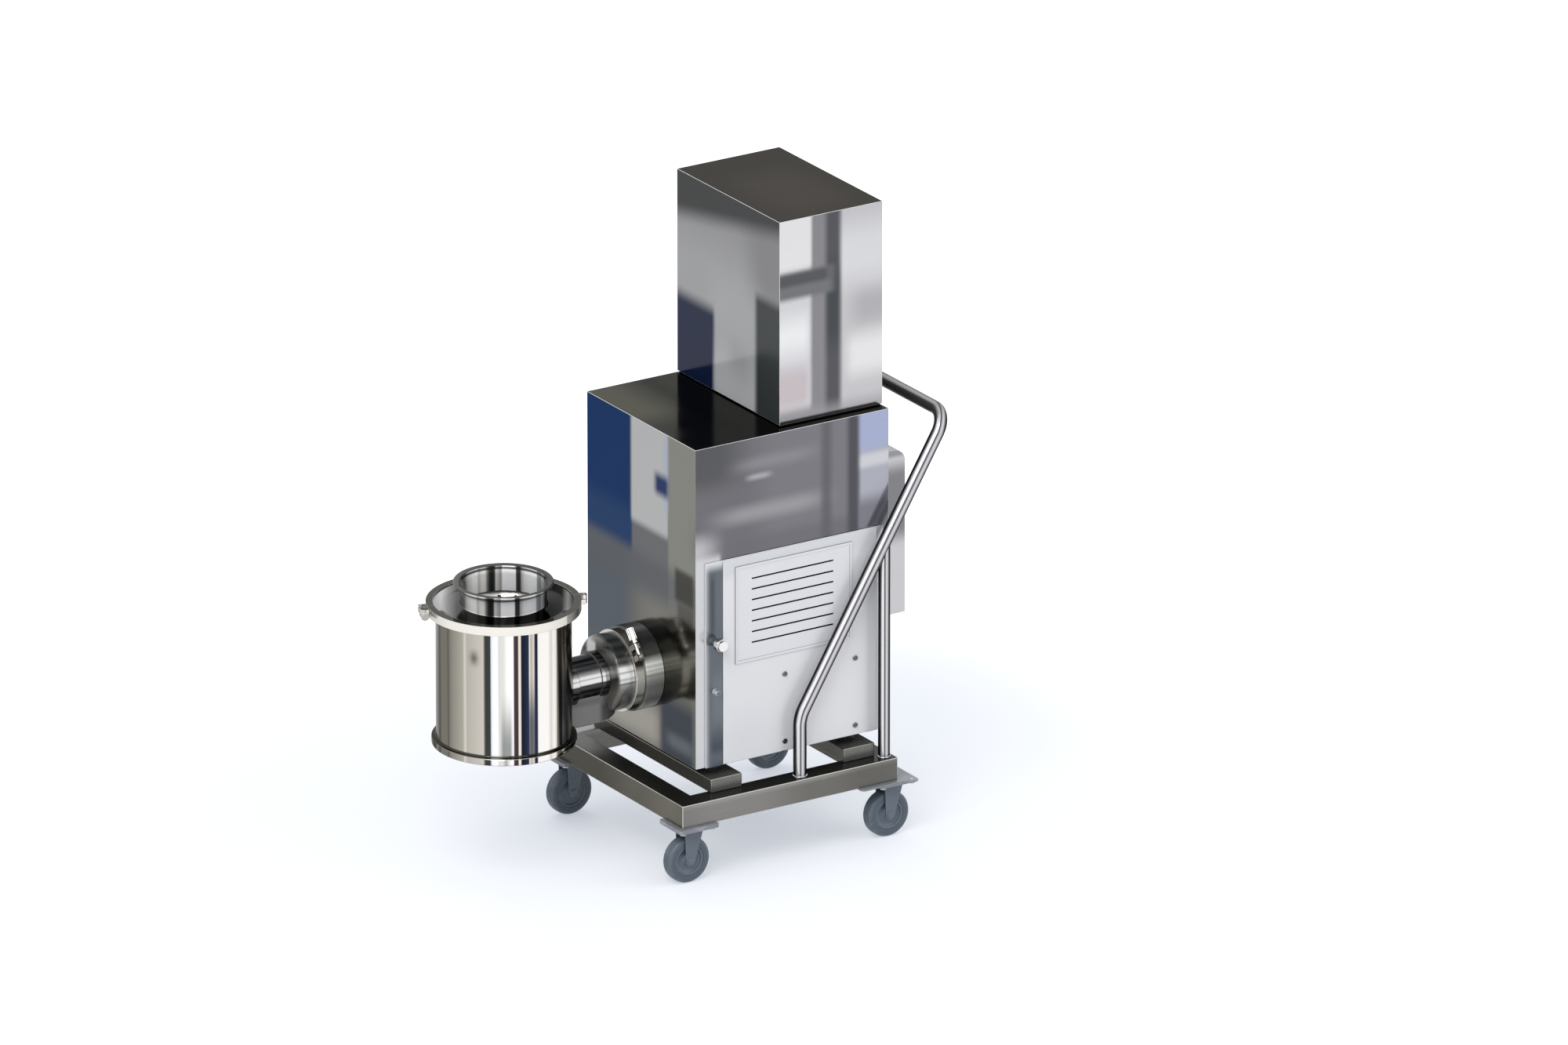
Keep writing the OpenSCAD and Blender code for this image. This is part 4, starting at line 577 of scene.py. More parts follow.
# Painted reflections round the vessel's wall: light and dark streaks ordered across it
WALL_REFLECTIONS = {
    0: "#101010", 0.012: "#8a8a80", 0.028: "#5e5d54", 0.036: "#45443e", 0.044: "#77756a", 0.09: "#74726a",
    0.097: "#4f4e47", 0.104: "#76746a", 0.13: "#8c8a80", 0.205: "#a5a397", 0.222: "#cfccc2", 0.235: "#b1ada4",
    0.357: "#c2beb5", 0.364: "#6b6862", 0.373: "#383c38", 0.408: "#3c403c", 0.416: "#dfe4f4", 0.44: "#f8f8fa",
    0.463: "#f2f2f4", 0.47: "#d4d4d0", 0.508: "#dcdcd8", 0.53: "#f4f4f4", 0.577: "#fafafa", 0.582: "#4a4045",
    0.611: "#3b3136", 0.616: "#e8ddd0", 0.63: "#e8ddd0", 0.635: "#171c2a", 0.688: "#2a3246", 0.695: "#efe9e0",
    0.705: "#a9a49c", 0.728: "#ddd6cc", 0.733: "#20273a", 0.752: "#20273a", 0.758: "#f4f2ee", 0.83: "#f6f4f0",
    0.85: "#d8cfc4", 0.87: "#f2f2f0", 0.888: "#e2ded6", 0.895: "#6d665e", 0.925: "#45413b", 0.935: "#c9c6be",
    0.955: "#8a8780", 0.965: "#3a3733", 0.985: "#77756f", 1: "#2b2a28",
}
reflection_streaked(
    "vessel_steel",
    (*VESSEL, 400),
    RIGHT,
    140,
    WALL_REFLECTIONS,
    top={0: "#8a8880", 0.3: "#d8d6cf", 0.6: "#f2f2f2", 0.85: "#77756f", 1: "#c9c8c2"},
    under={0: "#3b3a37", 0.5: "#6b6a66", 1: "#2b2b29"},
    # Panes: a grey and a navy painted reflection low on the near side, a small darker spot, and a thin dark band that
    # is painted shadow above the outlet rim
    patches=[
        ((-411, 78, 200), (-392, 99, 400), (4, 4, 70), "#7f8482", 0.9),
        ((-361, 66, 200), (-339, 80, 440), (4, 4, 60), "#2b344c", 0.8),
        ((-458, 126, 514), (-444, 143, 538), (8, 8, 14), "#4f4c47", 0.85),
        ((-FAR, -FAR, 311.5), (FAR, FAR, 316), (1, 1, 0.8), "#26241f", 0.9),
    ],
)
# Lid: its side streaks and the dish's top run are painted reflections; the paler pane over the collar's top is painted
# light and the dark band from 640 to 644.5 mm painted shade under the rolled lip
LID_TOP = {
    0: "#b5b5b5", 0.07: "#d0d0d0", 0.12: "#9a9a9a", 0.18: "#626262", 0.26: "#3e3e3e", 0.36: "#222222", 0.55: "#161615",
    0.7: "#161615", 0.82: "#141414", 0.9: "#222222", 0.94: "#8a8a88", 0.97: "#44444a", 1: "#222222",
}
reflection_streaked(
    "lid_steel",
    (*VESSEL, 600),
    RIGHT,
    150,
    {
        0: "#8f8f8c", 0.2: "#3b3b39", 0.235: "#6b6b68", 0.255: "#d5d5d2", 0.285: "#faf8f0", 0.315: "#ffffff",
        0.33: "#c9c6bf", 0.345: "#f4f1e9", 0.37: "#f4f1e9", 0.385: "#8a8883", 0.4: "#333333", 0.42: "#1c1e22",
        0.436: "#3a3a38", 0.446: "#dcdcd8", 0.465: "#bcbcb8", 0.48: "#9c9c9a", 0.49: "#ffffff", 0.578: "#ffffff",
        0.585: "#3f3f3f", 0.612: "#333333", 0.62: "#b8b8b6", 0.645: "#f0f0f0", 0.665: "#fafafa", 0.68: "#ffffff",
        0.722: "#ffffff", 0.73: "#a2a2a2", 0.75: "#8c8c8a", 0.765: "#c0c0be", 0.785: "#333332", 1: "#77777a",
    },
    top=LID_TOP,
    under={0: "#3b3a37", 1: "#2b2b29"},
    patches=[
        ((-FAR, -FAR, 646.5), (FAR, FAR, 700), (1, 1, 1), "#7a7a78", 0.5),
        ((-FAR, -FAR, 640), (FAR, FAR, 644.5), (1, 1, 1), "#1c1b19", 0.9),
    ],
    metallic=0.12,
)
# Drive head: the end faces' runs and each body's streaks across RISE are painted reflections
DRIVE_END = {0: "#3a3a38", 0.3: "#55554f", 0.5: "#8f8f8a", 0.6: "#3a3a38", 0.8: "#8f8f8a", 1: "#55554f"}
reflection_streaked(
    "drum_steel",
    (-20, *AXIS),
    RISE,
    90.5,
    {
        0: "#2b2b29", 0.04: "#c9c9c6", 0.08: "#9a9a97", 0.12: "#777875", 0.2: "#838381", 0.28: "#777875",
        0.34: "#8f8f8d", 0.38: "#a5a6a2", 0.41: "#97988f", 0.44: "#e0e1dc", 0.46: "#c2c3be", 0.48: "#f2f3ee",
        0.51: "#cdcec9", 0.54: "#f4f5f0", 0.57: "#c4c5bf", 0.6: "#989995", 0.64: "#43433f", 0.74: "#333534",
        0.82: "#2a2b2b", 0.9: "#3b3d3c", 0.95: "#6a6b6a", 1: "#1a1a19",
    },
    top=DRIVE_END,
    under=DRIVE_END,
    axis=0,
    metallic=0.05,
)
reflection_streaked(
    "bell_steel",
    (-86, *AXIS),
    RISE,
    99,
    {
        0: "#55544f", 0.12: "#4a4a48", 0.17: "#454543", 0.25: "#6a6b69", 0.32: "#858583", 0.36: "#a4a4a2",
        0.385: "#7c7c7a", 0.4: "#f4f5f2", 0.43: "#c0c1be", 0.445: "#ffffff", 0.48: "#ffffff", 0.5: "#b5b5b2",
        0.515: "#ffffff", 0.55: "#fafaf8", 0.575: "#8a8a88", 0.6: "#454545", 0.64: "#5a5a58", 0.67: "#2c2d2c",
        0.71: "#3d403f", 0.76: "#292c2b", 0.8: "#4a4d4c", 0.84: "#2b2d2d", 0.88: "#55585a", 0.93: "#24231f",
    },
    top=DRIVE_END,
    under={
        0: "#6e6e6c", 0.3: "#77756f", 0.45: "#3a3a38", 0.52: "#a9a9a6", 0.6: "#55554f", 0.7: "#8f8f8a", 0.78: "#3a3935",
        0.86: "#8b8b86", 0.93: "#c9c9c6", 1: "#2a2926",
    },
    axis=0,
    # A grey painted reflection over the arm's lower part near the vessel, and a white painted highlight on the bell's
    # shoulder
    patches=[
        ((-FAR, -FAR, -FAR), (-122, FAR, 352), (8, 1, 10), "#858585", 0.95),
        ((-112, 219, 434), (-86, 252, 464), (5, 6, 6), "#ffffff", 1.0),
    ],
    metallic=0.25,
)
# Spindle tube: its bright middle band and dark lines are painted reflections
reflection_streaked(
    "spindle_tube_steel",
    (-150, *AXIS),
    RISE,
    50.5,
    {
        0: "#3a3a3a", 0.06: "#565455", 0.12: "#3a393a", 0.16: "#1d1b1c", 0.2: "#4a4849", 0.24: "#1d1b1c",
        0.3: "#413f40", 0.345: "#4d4b4c", 0.365: "#1d1b1c", 0.38: "#b5b4b4", 0.4: "#fcfafb", 0.46: "#ffffff",
        0.49: "#b5b4b4", 0.51: "#ffffff", 0.555: "#f0f0f0", 0.58: "#adadad", 0.62: "#8a8a8a", 0.65: "#5c5c5c",
        0.69: "#2b2b2b", 0.74: "#5c5c5c", 0.78: "#262626", 0.82: "#4f4f4f", 0.86: "#1a1a1a", 0.9: "#454545",
        0.94: "#0e0e0e", 1: "#3b3b3b",
    },
    top=DRIVE_END,
    under=DRIVE_END,
    axis=0,
    metallic=0.5,
)

# Small metal: each ramp is painted shade and painted highlights by how far a surface turns towards LIT or RIGHT
CLAMP_SHEEN = {
    0: "#171614", 0.18: "#55534b", 0.3: "#262521", 0.4: "#55534b", 0.46: "#c9c6ba", 0.51: "#e8e5da", 0.56: "#8d8a80",
    0.6: "#d9d6cc", 0.72: "#f2efe8", 0.82: "#f2efe8", 0.87: "#3a3935", 0.94: "#55534b", 1: "#a9a69b",
}
painted_sheen_metal("clamp_steel", LIT, CLAMP_SHEEN, metallic=0.6)
painted_sheen_metal(
    "nut_steel",
    LIT,
    {0: "#2a2926", 0.35: "#8d8a80", 0.5: "#3a3935", 0.65: "#c9c8c4", 0.74: "#6a6864", 0.82: "#e8e6e2", 1: "#f4f4f2"},
)
painted_sheen_metal("bolt_steel", LIT, {0: "#22211f", 0.4: "#77756f", 0.6: "#c9c8c2", 1: "#f2f2f0"}, polish=0.2)
painted_sheen_metal(
    "latch_chrome",
    LIT,
    {0: "#22211f", 0.3: "#6b6a68", 0.45: "#2c2b2a", 0.6: "#a9a9a9", 0.75: "#f4f4f4", 1: "#c9c9c9"},
)
# Handle: its ramps are painted highlights and painted dark outlines, the behind ramp a painted reflection, and the pane
# above 860 mm painted shade on the grip's top
painted_sheen_metal(
    "handle_tube",
    RIGHT,
    {
        0: "#0b0b0d", 0.12: "#0b0b0d", 0.18: "#39383b", 0.25: "#afaeb1", 0.31: "#efeef1", 0.47: "#efeef1",
        0.52: "#48474a", 0.56: "#55545a", 0.61: "#a5a5a7", 0.7: "#e7e6e9", 0.8: "#b5b4b7", 0.85: "#77777a",
        0.89: "#0b0b0d", 1: "#030305",
    },
    polish=0.16,
    metallic=0.5,
    behind={
        0: "#efeef1", 0.1: "#c9c8cb", 0.18: "#48474a", 0.28: "#8d8d8f", 0.42: "#efeef1", 0.55: "#d5d4d7",
        0.66: "#48474a", 0.78: "#a5a5a7", 0.9: "#efeef1", 1: "#b5b4b7",
    },
    patches=[((560, -20, 860), (FAR, 440, FAR), (14, 24, 10), "#55534f", 0.6)],
)
painted_sheen_metal("screw_steel", LIT, {0: "#1c1c1c", 0.5: "#3a3a3c", 0.7: "#55565a", 1: "#d0d0d0"}, polish=0.2)
painted_sheen_metal("zinc_bolt", LIT, {0: "#4a4f57", 0.5: "#8b9096", 1: "#e0e3e8"}, polish=0.3)
painted_sheen_metal("gland_nickel", LIT, {0: "#3b3935", 0.5: "#9a958a", 1: "#dcd8cc"}, polish=0.3)
painted_sheen_metal("screen_steel", LIT, {0: "#2a2926", 0.4: "#77756f", 0.7: "#b9b6ab", 1: "#e8e6e2"}, polish=0.24)
painted_sheen_metal("impeller_steel", LIT, {0: "#2a2926", 0.35: "#8d8a80", 0.6: "#d9d7d0", 1: "#f8f8f6"})
painted_sheen_metal("shaft_steel", RIGHT, {0: "#22211f", 0.3: "#e8e6e2", 0.6: "#8d8a80", 1: "#3a3935"})
painted_sheen_metal(
    "gearbox_steel",
    RIGHT,
    {0: "#2a2926", 0.3: "#c9c8c2", 0.55: "#8d8a80", 0.8: "#55534b", 1: "#22211f"},
    polish=0.2,
)

worked_metal("spindle_steel", "#8b8b8c", (10, 400, 400))
worked_metal("bearing_steel", "#b4b5b8", (600, 600, 600), 0.14, 0.05)
worked_metal("gear_bronze", "#b08a4a", (300, 300, 300), 0.3)
worked_metal("rotor_steel", "#707072", (600, 30, 30), 0.4, 0.2)
worked_metal("shield_alloy", "#8f9196", (140, 140, 140), 0.42, 0.16)
worked_metal("coupling_alloy", "#85878c", (300, 60, 60), 0.34)
# The second tone of each is the paler one for rubbed edges and dust, and for their painted edge highlights
for slot in ("motor_paint", "cowl_paint"):
    moulded(slot, "#33495f", "#6d7f90", 0.42)
moulded("saddle_steel", "#4d4f54", "#84868b", 0.46)
moulded("inverter_case", "#4d5157", "#84888e", 0.5)
moulded("fan_plastic", "#1a1a1c", "#45464a", 0.55)
moulded("seal_rubber", "#121213", "#33343a", 0.6)
moulded("mount_rubber", "#161617", "#3d3e42", 0.62)
moulded("castor_plate_steel", "#868b92", "#e0e3e8", 0.36, 900.0, 0.00002, 0.2)
moulded("castor_fork_paint", "#66727f", "#9aa5b0", 0.42, 900.0, 0.00003, 0.2)
moulded("castor_hub_plastic", "#65717d", "#97a3af", 0.4)
moulded("castor_tyre_rubber", "#55616d", "#8b98a5", 0.5)

for name, node in nodes.items():
    node.data.materials.clear()
    node.data.materials.append(finish[slot_of[name]])

# ---- Shapes ----


def grid_faces(rows, columns, closed_rows=True):
    """Four-cornered faces between neighbouring rows and columns: columns close into rings, and rows where asked."""
    r, c = np.meshgrid(np.arange(rows - (not closed_rows)), np.arange(columns), indexing="ij")
    below, beside = (r + 1) % rows, (c + 1) % columns
    corners = [r * columns + c, r * columns + beside, below * columns + beside, below * columns + c]
    return np.stack(corners, -1).reshape(-1, 4).tolist()


def mended(mesh, step):
    """Welds a mesh and takes one more step on it."""
    bm = bmesh.new()
    bm.from_mesh(mesh)
    bmesh.ops.remove_doubles(bm, verts=bm.verts, dist=WELD_METRES)
    step(bm)
    bm.to_mesh(mesh)
    bm.free()


def put(name, shape, body, slot, stands_for=()):
    """One welded, outward-facing, smooth piece from points in millimetres and their faces, riding on a body."""
    points, faces = shape
    mesh = bpy.data.meshes.new(name)
    mesh.from_pydata(at(points), [], faces)
    mended(mesh, lambda bm: bmesh.ops.recalc_face_normals(bm, faces=bm.faces))
    keep(name, mesh, body, slot, stands_for, 30.0)


def keep(name, mesh, body, slot, stands_for, sharp):
    """Links a finished mesh as a piece: smooth below the sharp angle, with its slot's finish, on its body."""
    mesh.shade_smooth()
    mesh.set_sharp_from_angle(angle=math.radians(sharp))
    piece = bpy.data.objects.new(name, mesh)
    bpy.context.scene.collection.objects.link(piece)
    mesh.materials.append(finish[slot])
    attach(piece, body)
    if stands_for:
        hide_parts(*stands_for)
    return piece


def joined(*shapes):
    """Several shapes as one: their points in a row, each one's faces counted on from the points before it."""
    points, faces, count = [], [], 0
    for some, rings in shapes:
        points.append(np.asarray(some, float))
        faces += [[i + count for i in ring] for ring in rings]
        count += len(some)
    return np.concatenate(points), faces


def round_corners(points, radii, steps=5):
    """A closed outline with a circular arc at each corner: a rational quadratic curve between the two points where the
    arc leaves the sides, at most 0.46 of the way along either."""
    p = np.asarray(points, float)
    before, after = np.roll(p, 1, 0) - p, np.roll(p, -1, 0) - p
    to_before, to_after = np.linalg.norm(before, axis=1), np.linalg.norm(after, axis=1)
    before, after = before / to_before[:, None], after / to_after[:, None]
    half_turn = (np.pi - np.arccos(np.clip((before * after).sum(1), -1, 1))) / 2
    reach = np.minimum(np.broadcast_to(radii, len(p)) * np.tan(half_turn), 0.46 * np.minimum(to_before, to_after))
    start, end = p + before * reach[:, None], p + after * reach[:, None]
    t = np.linspace(0, 1, steps + 1)[None, :, None]
    pull = 2 * np.cos(half_turn)[:, None, None] * t * (1 - t)
    curve = (start[:, None] * (1 - t) ** 2 + p[:, None] * pull + end[:, None] * t**2) / ((1 - t) ** 2 + pull + t**2)
    return curve.reshape(-1, 2)


def turned(profile, centre, axis, steps=144):
    """Surface of revolution: the profile point (along, out) goes to the centre plus along times the axis plus out times
    the circle's direction."""
    a = np.array(axis, float)
    p = np.roll(a, 1)
    q = np.cross(a, p)
    angle = np.arange(steps) * 2 * np.pi / steps
    circle = np.cos(angle)[:, None] * p + np.sin(angle)[:, None] * q
    along, out = np.asarray(profile, float).T[:, :, None, None]
    points = np.array(centre, float) + along * a + out * circle[None]
    return points.reshape(-1, 3), grid_faces(len(profile), steps)


def swept(path, radius, side, steps=32):
    """A round tube: at each point of the path a circle square to it, its first point towards the given side; a flat
    face closes each end."""
    path = np.asarray(path, float)
    ahead = np.gradient(path, axis=0)
    ahead /= np.linalg.norm(ahead, axis=1)[:, None]
    side = np.array(side, float) - (ahead @ np.array(side, float))[:, None] * ahead
    side /= np.linalg.norm(side, axis=1)[:, None]
    angle = np.arange(steps) * 2 * np.pi / steps
    ring = np.cos(angle)[None, :, None] * side[:, None] + np.sin(angle)[None, :, None] * np.cross(ahead, side)[:, None]
    radius = np.broadcast_to(radius, len(path))[:, None, None]
    points = (path[:, None] + radius * ring).reshape(-1, 3)
    last = (len(path) - 1) * steps
    ends = [list(range(steps)), list(range(last, last + steps))]
    return points, grid_faces(len(path), steps, closed_rows=False) + ends


def dressed(node, width, sharp=32.0):
    """A copy of a CAD node: its facets welded, its flat faces joined, and a bevel of the given width on every edge
    sharper than the angle."""
    source = nodes[node].data
    points = np.zeros(len(source.vertices) * 3, np.float32)
    source.vertices.foreach_get("co", points)
    corners = np.zeros(len(source.loops), np.int32)
    source.loops.foreach_get("vertex_index", corners)
    mesh = bpy.data.meshes.new(node + "_finish")
    mesh.from_pydata(points.reshape(-1, 3), [], corners.reshape(-1, 3))
    flat = math.radians(0.6)
    mended(mesh, lambda bm: bmesh.ops.dissolve_limit(bm, angle_limit=flat, verts=bm.verts, edges=bm.edges))
    piece = keep(node + "_finish", mesh, nodes[node]["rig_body"], slot_of[node], [node], sharp)
    bevel = piece.modifiers.new("edges", "BEVEL")
    bevel.width = width / 1000.0
    bevel.segments = 2
    bevel.limit_method = "ANGLE"
    bevel.angle_limit = math.radians(sharp)
    bevel.harden_normals = True
    bevel.use_clamp_overlap = False


def revolved(name, node, profile, radii, centre, axis, steps=144, corner_steps=4):
    """A turned piece with rounded corners that stands for a CAD node."""
    shape = turned(round_corners(profile, radii, corner_steps), centre, axis, steps)
    put(name, shape, nodes[node]["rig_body"], slot_of[node], [node])


# ---- Pieces ----

EDGES = {
    "trolley_frame": 2.0, "support_bars": 2.2, "packing_plates": 0.7, "castor_plates": 0.7, "castor_bolts": 0.5,
    "cabinet_shell": 1.1, "tower_shell": 1.1, "side_cover": 0.9, "face_panel": 0.7, "vent_plate": 0.3,
    "cover_screws": 0.3, "latch_knob": 0.8, "rear_box": 1.1, "cable_gland": 0.6, "drive_clamp": 0.8,
    "drive_clamp_bolt": 0.4, "drive_clamp_nut": 0.4, "lid_clamp": 0.8, "clamp_hinge_pins": 0.4, "lid_clamp_bolt": 0.4,
    "lid_clamp_nut": 0.4, "impeller": 0.6,
    **{f"castor_fork_{i}": 0.7 for i in range(1, 5)},
}
for node, width in EDGES.items():
    dressed(node, width)

# Vessel: outlet rim, shell, top flange and screen ledge in one turned wall, then the port sleeve that grows out of it
wall = [
    (297, 138), (297, 150), (312, 150), (313, 140), (588, 140), (589, 150), (595, 150), (595, 137), (587, 137),
    (587, 125), (584, 125), (584, 137), (335, 137), (335, 138),
]
wall_radii = [1, 3, 3, 5, 5, 1, 1, 0.6, 0.6, 0.8, 0.8, 1, 0.6, 0.6]
revolved("vessel_wall", "vessel_body", wall, wall_radii, (*VESSEL, 0), UP, 192)


def port_sleeve(inner, outer, end, lip, steps=96):
    """The sleeve round the spindle tube: rings about the drive axis, the first four on cylinders about the vessel's
    axis, where along is the root of the cylinder's radius squared less the place across squared."""
    angle = np.arange(steps) * 2 * np.pi / steps
    across_y, up_z = np.cos(angle), np.sin(angle)
    on_vessel = [(inner, 138.6), (outer + lip, 139.2), (outer + lip * 0.35, 142.5), (outer, 146.0)]
    straight = [(outer, end - 1.5), (outer - 1.5, end), (inner + 1.0, end), (inner, end - 1.0)]
    places = [(radius, np.sqrt(out**2 - (radius * across_y) ** 2) + VESSEL[0]) for radius, out in on_vessel]
    places += [(radius, np.full(steps, x)) for radius, x in straight]
    rings = [np.stack([along, AXIS[0] + r * across_y, AXIS[1] + r * up_z], -1) for r, along in places]
    return np.concatenate(rings), grid_faces(len(rings), steps)


put("vessel_port", port_sleeve(46.7, 54.5, -181.0, 3.0), "chassis", "spindle_tube_steel")

# Lid: rim, shallow dish and the inlet collar that rolls out into its lip
lid = [
    (593.5, 86), (634, 86), (646.5, 91.5), (648.5, 95), (648.5, 103.5), (643.5, 103.5), (634.5, 90.2), (600.5, 89),
    (596.5, 127.8), (602.5, 142), (602.5, 150), (597.5, 150), (597.5, 139), (593.5, 127.8),
]
lid_radii = [1, 20, 3, 2, 2.2, 2, 6, 4, 10, 6, 1, 1, 3, 6]
revolved("lid_turning", "vessel_lid", lid, lid_radii, (*VESSEL, 0), UP, 192, 6)
gasket = [(595.1, 139.2), (595.1, 149.8), (597.4, 149.8), (597.4, 139.2)]
revolved("lid_seal", "lid_gasket", gasket, 0.8, (*VESSEL, 0), UP)

# Drive head: wall drum, bell with its round shoulder, spindle tube with its collar
drum = [
    (-55.1, 62), (-55.1, 79.7), (-48.6, 79.7), (-48.6, 71.7), (-45, 71.7), (-45, 90.5), (-0.2, 90.5), (-0.2, 74.8),
    (12, 74.8), (12, 62),
]
drum_radii = [1, 1.2, 1.2, 1, 1, 6, 1.2, 1, 1, 1]
revolved("wall_drum", "wall_flange", drum, drum_radii, (0, *AXIS), ALONG)
bell = [
    (-55.3, 62), (-55.3, 79.7), (-61.8, 79.7), (-61.8, 71.7), (-65.4, 71.7), (-65.4, 81), (-106.4, 81), (-106.4, 50.9),
    (-106.2, 46.7), (-98.4, 46.7), (-98.4, 62),
]
bell_radii = [1, 1.2, 1.2, 1, 1, 2, 20, 0.6, 0.4, 0.6, 1]
revolved("bell_turning", "bell_housing", bell, bell_radii, (0, *AXIS), ALONG, 144, 10)


def cradle_arm(half_width, deep, shoulder):
    """The arm cast with the bell: its cross-section, between the tube above and a round belly below, runs from the
    vessel's wall to the bell. The upper side is the circle of the tube and the lower side that of the belly, which
    shrinks in a quarter round at the bell; both draw in by 6 % towards the edges, by the 14th power of the place
    across."""
    columns, rows = 33, 41
    vessel_r, tube_r, end_r, end_x = 141.5, 46.9, 79.0, -86.0
    y = np.linspace(-half_width, half_width, columns)
    along = np.linspace(0, 1, rows)[:, None]
    start = VESSEL[0] + np.sqrt(vessel_r**2 - y**2)
    x = start + along * (end_x - start)
    upper = np.broadcast_to(-np.sqrt(tube_r**2 - y**2), x.shape)
    reach = np.clip((x + shoulder[0]) / shoulder[1], 0, 1)
    lower_r = deep - (deep - end_r) * (1 - np.sqrt(1 - reach**2 + 1e-9))
    lower = -np.sqrt(lower_r**2 - y**2)
    roll = 1 - (np.abs(y) / half_width) ** 14
    middle = (upper + lower) / 2
    high, low = [
        np.stack([x, np.broadcast_to(y, x.shape) + AXIS[0], middle + (z - middle) * (0.94 + 0.06 * roll) + AXIS[1]], -1)
        for z in (upper, lower)
    ]
    loop = np.concatenate([high, low[:, ::-1]], axis=1)
    ring = loop.shape[1]
    ends = [list(range(ring)), list(range((rows - 1) * ring, rows * ring))]
    return loop.reshape(-1, 3), grid_faces(rows, ring, closed_rows=False) + ends


put("bell_arm", cradle_arm(38.0, 99.0, (126.0, 40.0)), "chassis", "bell_steel")
tube = [
    (-282.5, 31.05), (-282.5, 46.5), (-124.6, 46.5), (-124.6, 50.5), (-106.6, 50.5), (-106.6, 46.5), (-98.4, 46.5),
    (-98.4, 31.05), (-122.4, 31.05), (-122.4, 36.2), (-258.5, 36.2), (-258.5, 31.05),
]
tube_radii = [0.6, 0.8, 1.6, 1.4, 1.2, *[0.6] * 7]
revolved("spindle_tube", "spindle_housing", tube, tube_radii, (0, *AXIS), ALONG)

# Castors: tyres with two fine grooves in a rounded tread, and hubs with a dished web, behind their swivels' axes
TRAIL, WHEEL_RADIUS = 8, 50
tread = [
    (-15, 33.2), (-15, 42), (-13.4, 47), (-9, 49.6), (-5.6, 50), (-5.2, 49.2), (-4.4, 49.2), (-4, 50), (4, 50),
    (4.4, 49.2), (5.2, 49.2), (5.6, 50), (9, 49.6), (13.4, 47), (15, 42), (15, 33.2),
]
tread_radii = [1, 3, 3, 2, 0.3, 0.2, 0.2, 0.3, 0.3, 0.2, 0.2, 0.3, 2, 3, 3, 1]
web = [
    (-14, 4.05), (-14, 11.2), (-8.4, 13.4), (-7.6, 22), (-9, 27), (-14, 28.6), (-14, 33), (14, 33), (14, 28.6),
    (9, 27), (7.6, 22), (8.4, 13.4), (14, 11.2), (14, 4.05),
]
web_radii = [0.6, 1.2, 2, 3, 2, 1, 0.8, 0.8, 1, 2, 3, 2, 1.2, 0.6]
for i, (x, y) in enumerate([(-28, -19), (-28, 439), (460, -19), (460, 439)], 1):
    axle = (x - TRAIL, y, WHEEL_RADIUS)
    revolved(f"tyre_{i}", f"castor_tyre_{i}", tread, tread_radii, axle, CROSS, 96, 3)
    revolved(f"hub_{i}", f"castor_hub_{i}", web, web_radii, axle, CROSS, 96, 3)

# Mounts: a waisted rubber body between washers, with its studs
mount = [
    (-14, 0.05), (-14, 3.6), (0, 4), (0, 19.6), (2.4, 19.8), (4.5, 16.4), (10.5, 15.4), (16.5, 16.4), (18.6, 19.8),
    (21, 19.6), (21, 4), (35, 3.6), (35, 0.05),
]
mount = round_corners(mount, [0, 0.6, 0.6, 0.8, 1, 3, 8, 3, 1, 0.8, 0.6, 0.6, 0], 3)
shapes = [turned(mount, (x, y, 210), UP, 64) for x in (63, 387) for y in (40, 380)]
put("rubber_mounts", joined(*shapes), "chassis", "mount_rubber", ["isolation_mounts"])

# Push handle: legs, knees, slanted runs and the grip bar as one swept tube, with its posts and their weld toes
FRAME_TOP, SIDES = 180.0, (-27.5, 447.5)
HANDLE_X, POST_X = 236.0, 442.0
HANDLE_RADIUS, POST_RADIUS = 14.0, 12.5
LEAN = math.radians(31)
SLANT = np.array([math.sin(LEAN), 0, math.cos(LEAN)])
BACK = np.array([math.cos(LEAN), 0, -math.sin(LEAN)])


def arc(centre, start, end_direction, turn, steps=14):
    """Points of an arc: the centre plus the start arm times the cosine plus the end direction's arm times the sine,
    from no turn to the full one."""
    t = np.linspace(0, turn, steps)[:, None]
    return np.asarray(centre) + np.asarray(start) * np.cos(t) + np.asarray(end_direction) * np.sin(t)


def handle_path():
    """The handle's middle line: straight up, an arc of 31 degrees, the slanted run, a quarter arc in the slanted plane,
    and its mirror image across the machine's middle."""
    rise, knee_radius, slanted, grip_radius = 108.59, 70.0, 631.68, 44.0
    foot = np.array([HANDLE_X, SIDES[0], FRAME_TOP])
    knee = foot + np.array([knee_radius, 0, rise])
    bend = arc(knee, (-knee_radius, 0, 0), (0, 0, knee_radius), LEAN)
    run = bend[-1] + SLANT * np.linspace(0, slanted, 24)[:, None]
    turn = arc(run[-1] + np.array([0, grip_radius, 0]), (0, -grip_radius, 0), SLANT * grip_radius, math.pi / 2)
    upright = foot + np.array(UP) * np.linspace(0, rise, 6)[:-1, None]
    near = np.concatenate([upright, bend[:-1], run[:-1], turn])
    far = near[::-1] * np.array([1, -1, 1]) + np.array([0, sum(SIDES), 0])
    bar = near[-1] + (far[0] - near[-1]) * np.linspace(0, 1, 18)[1:-1, None]
    return np.concatenate([near, bar, far])


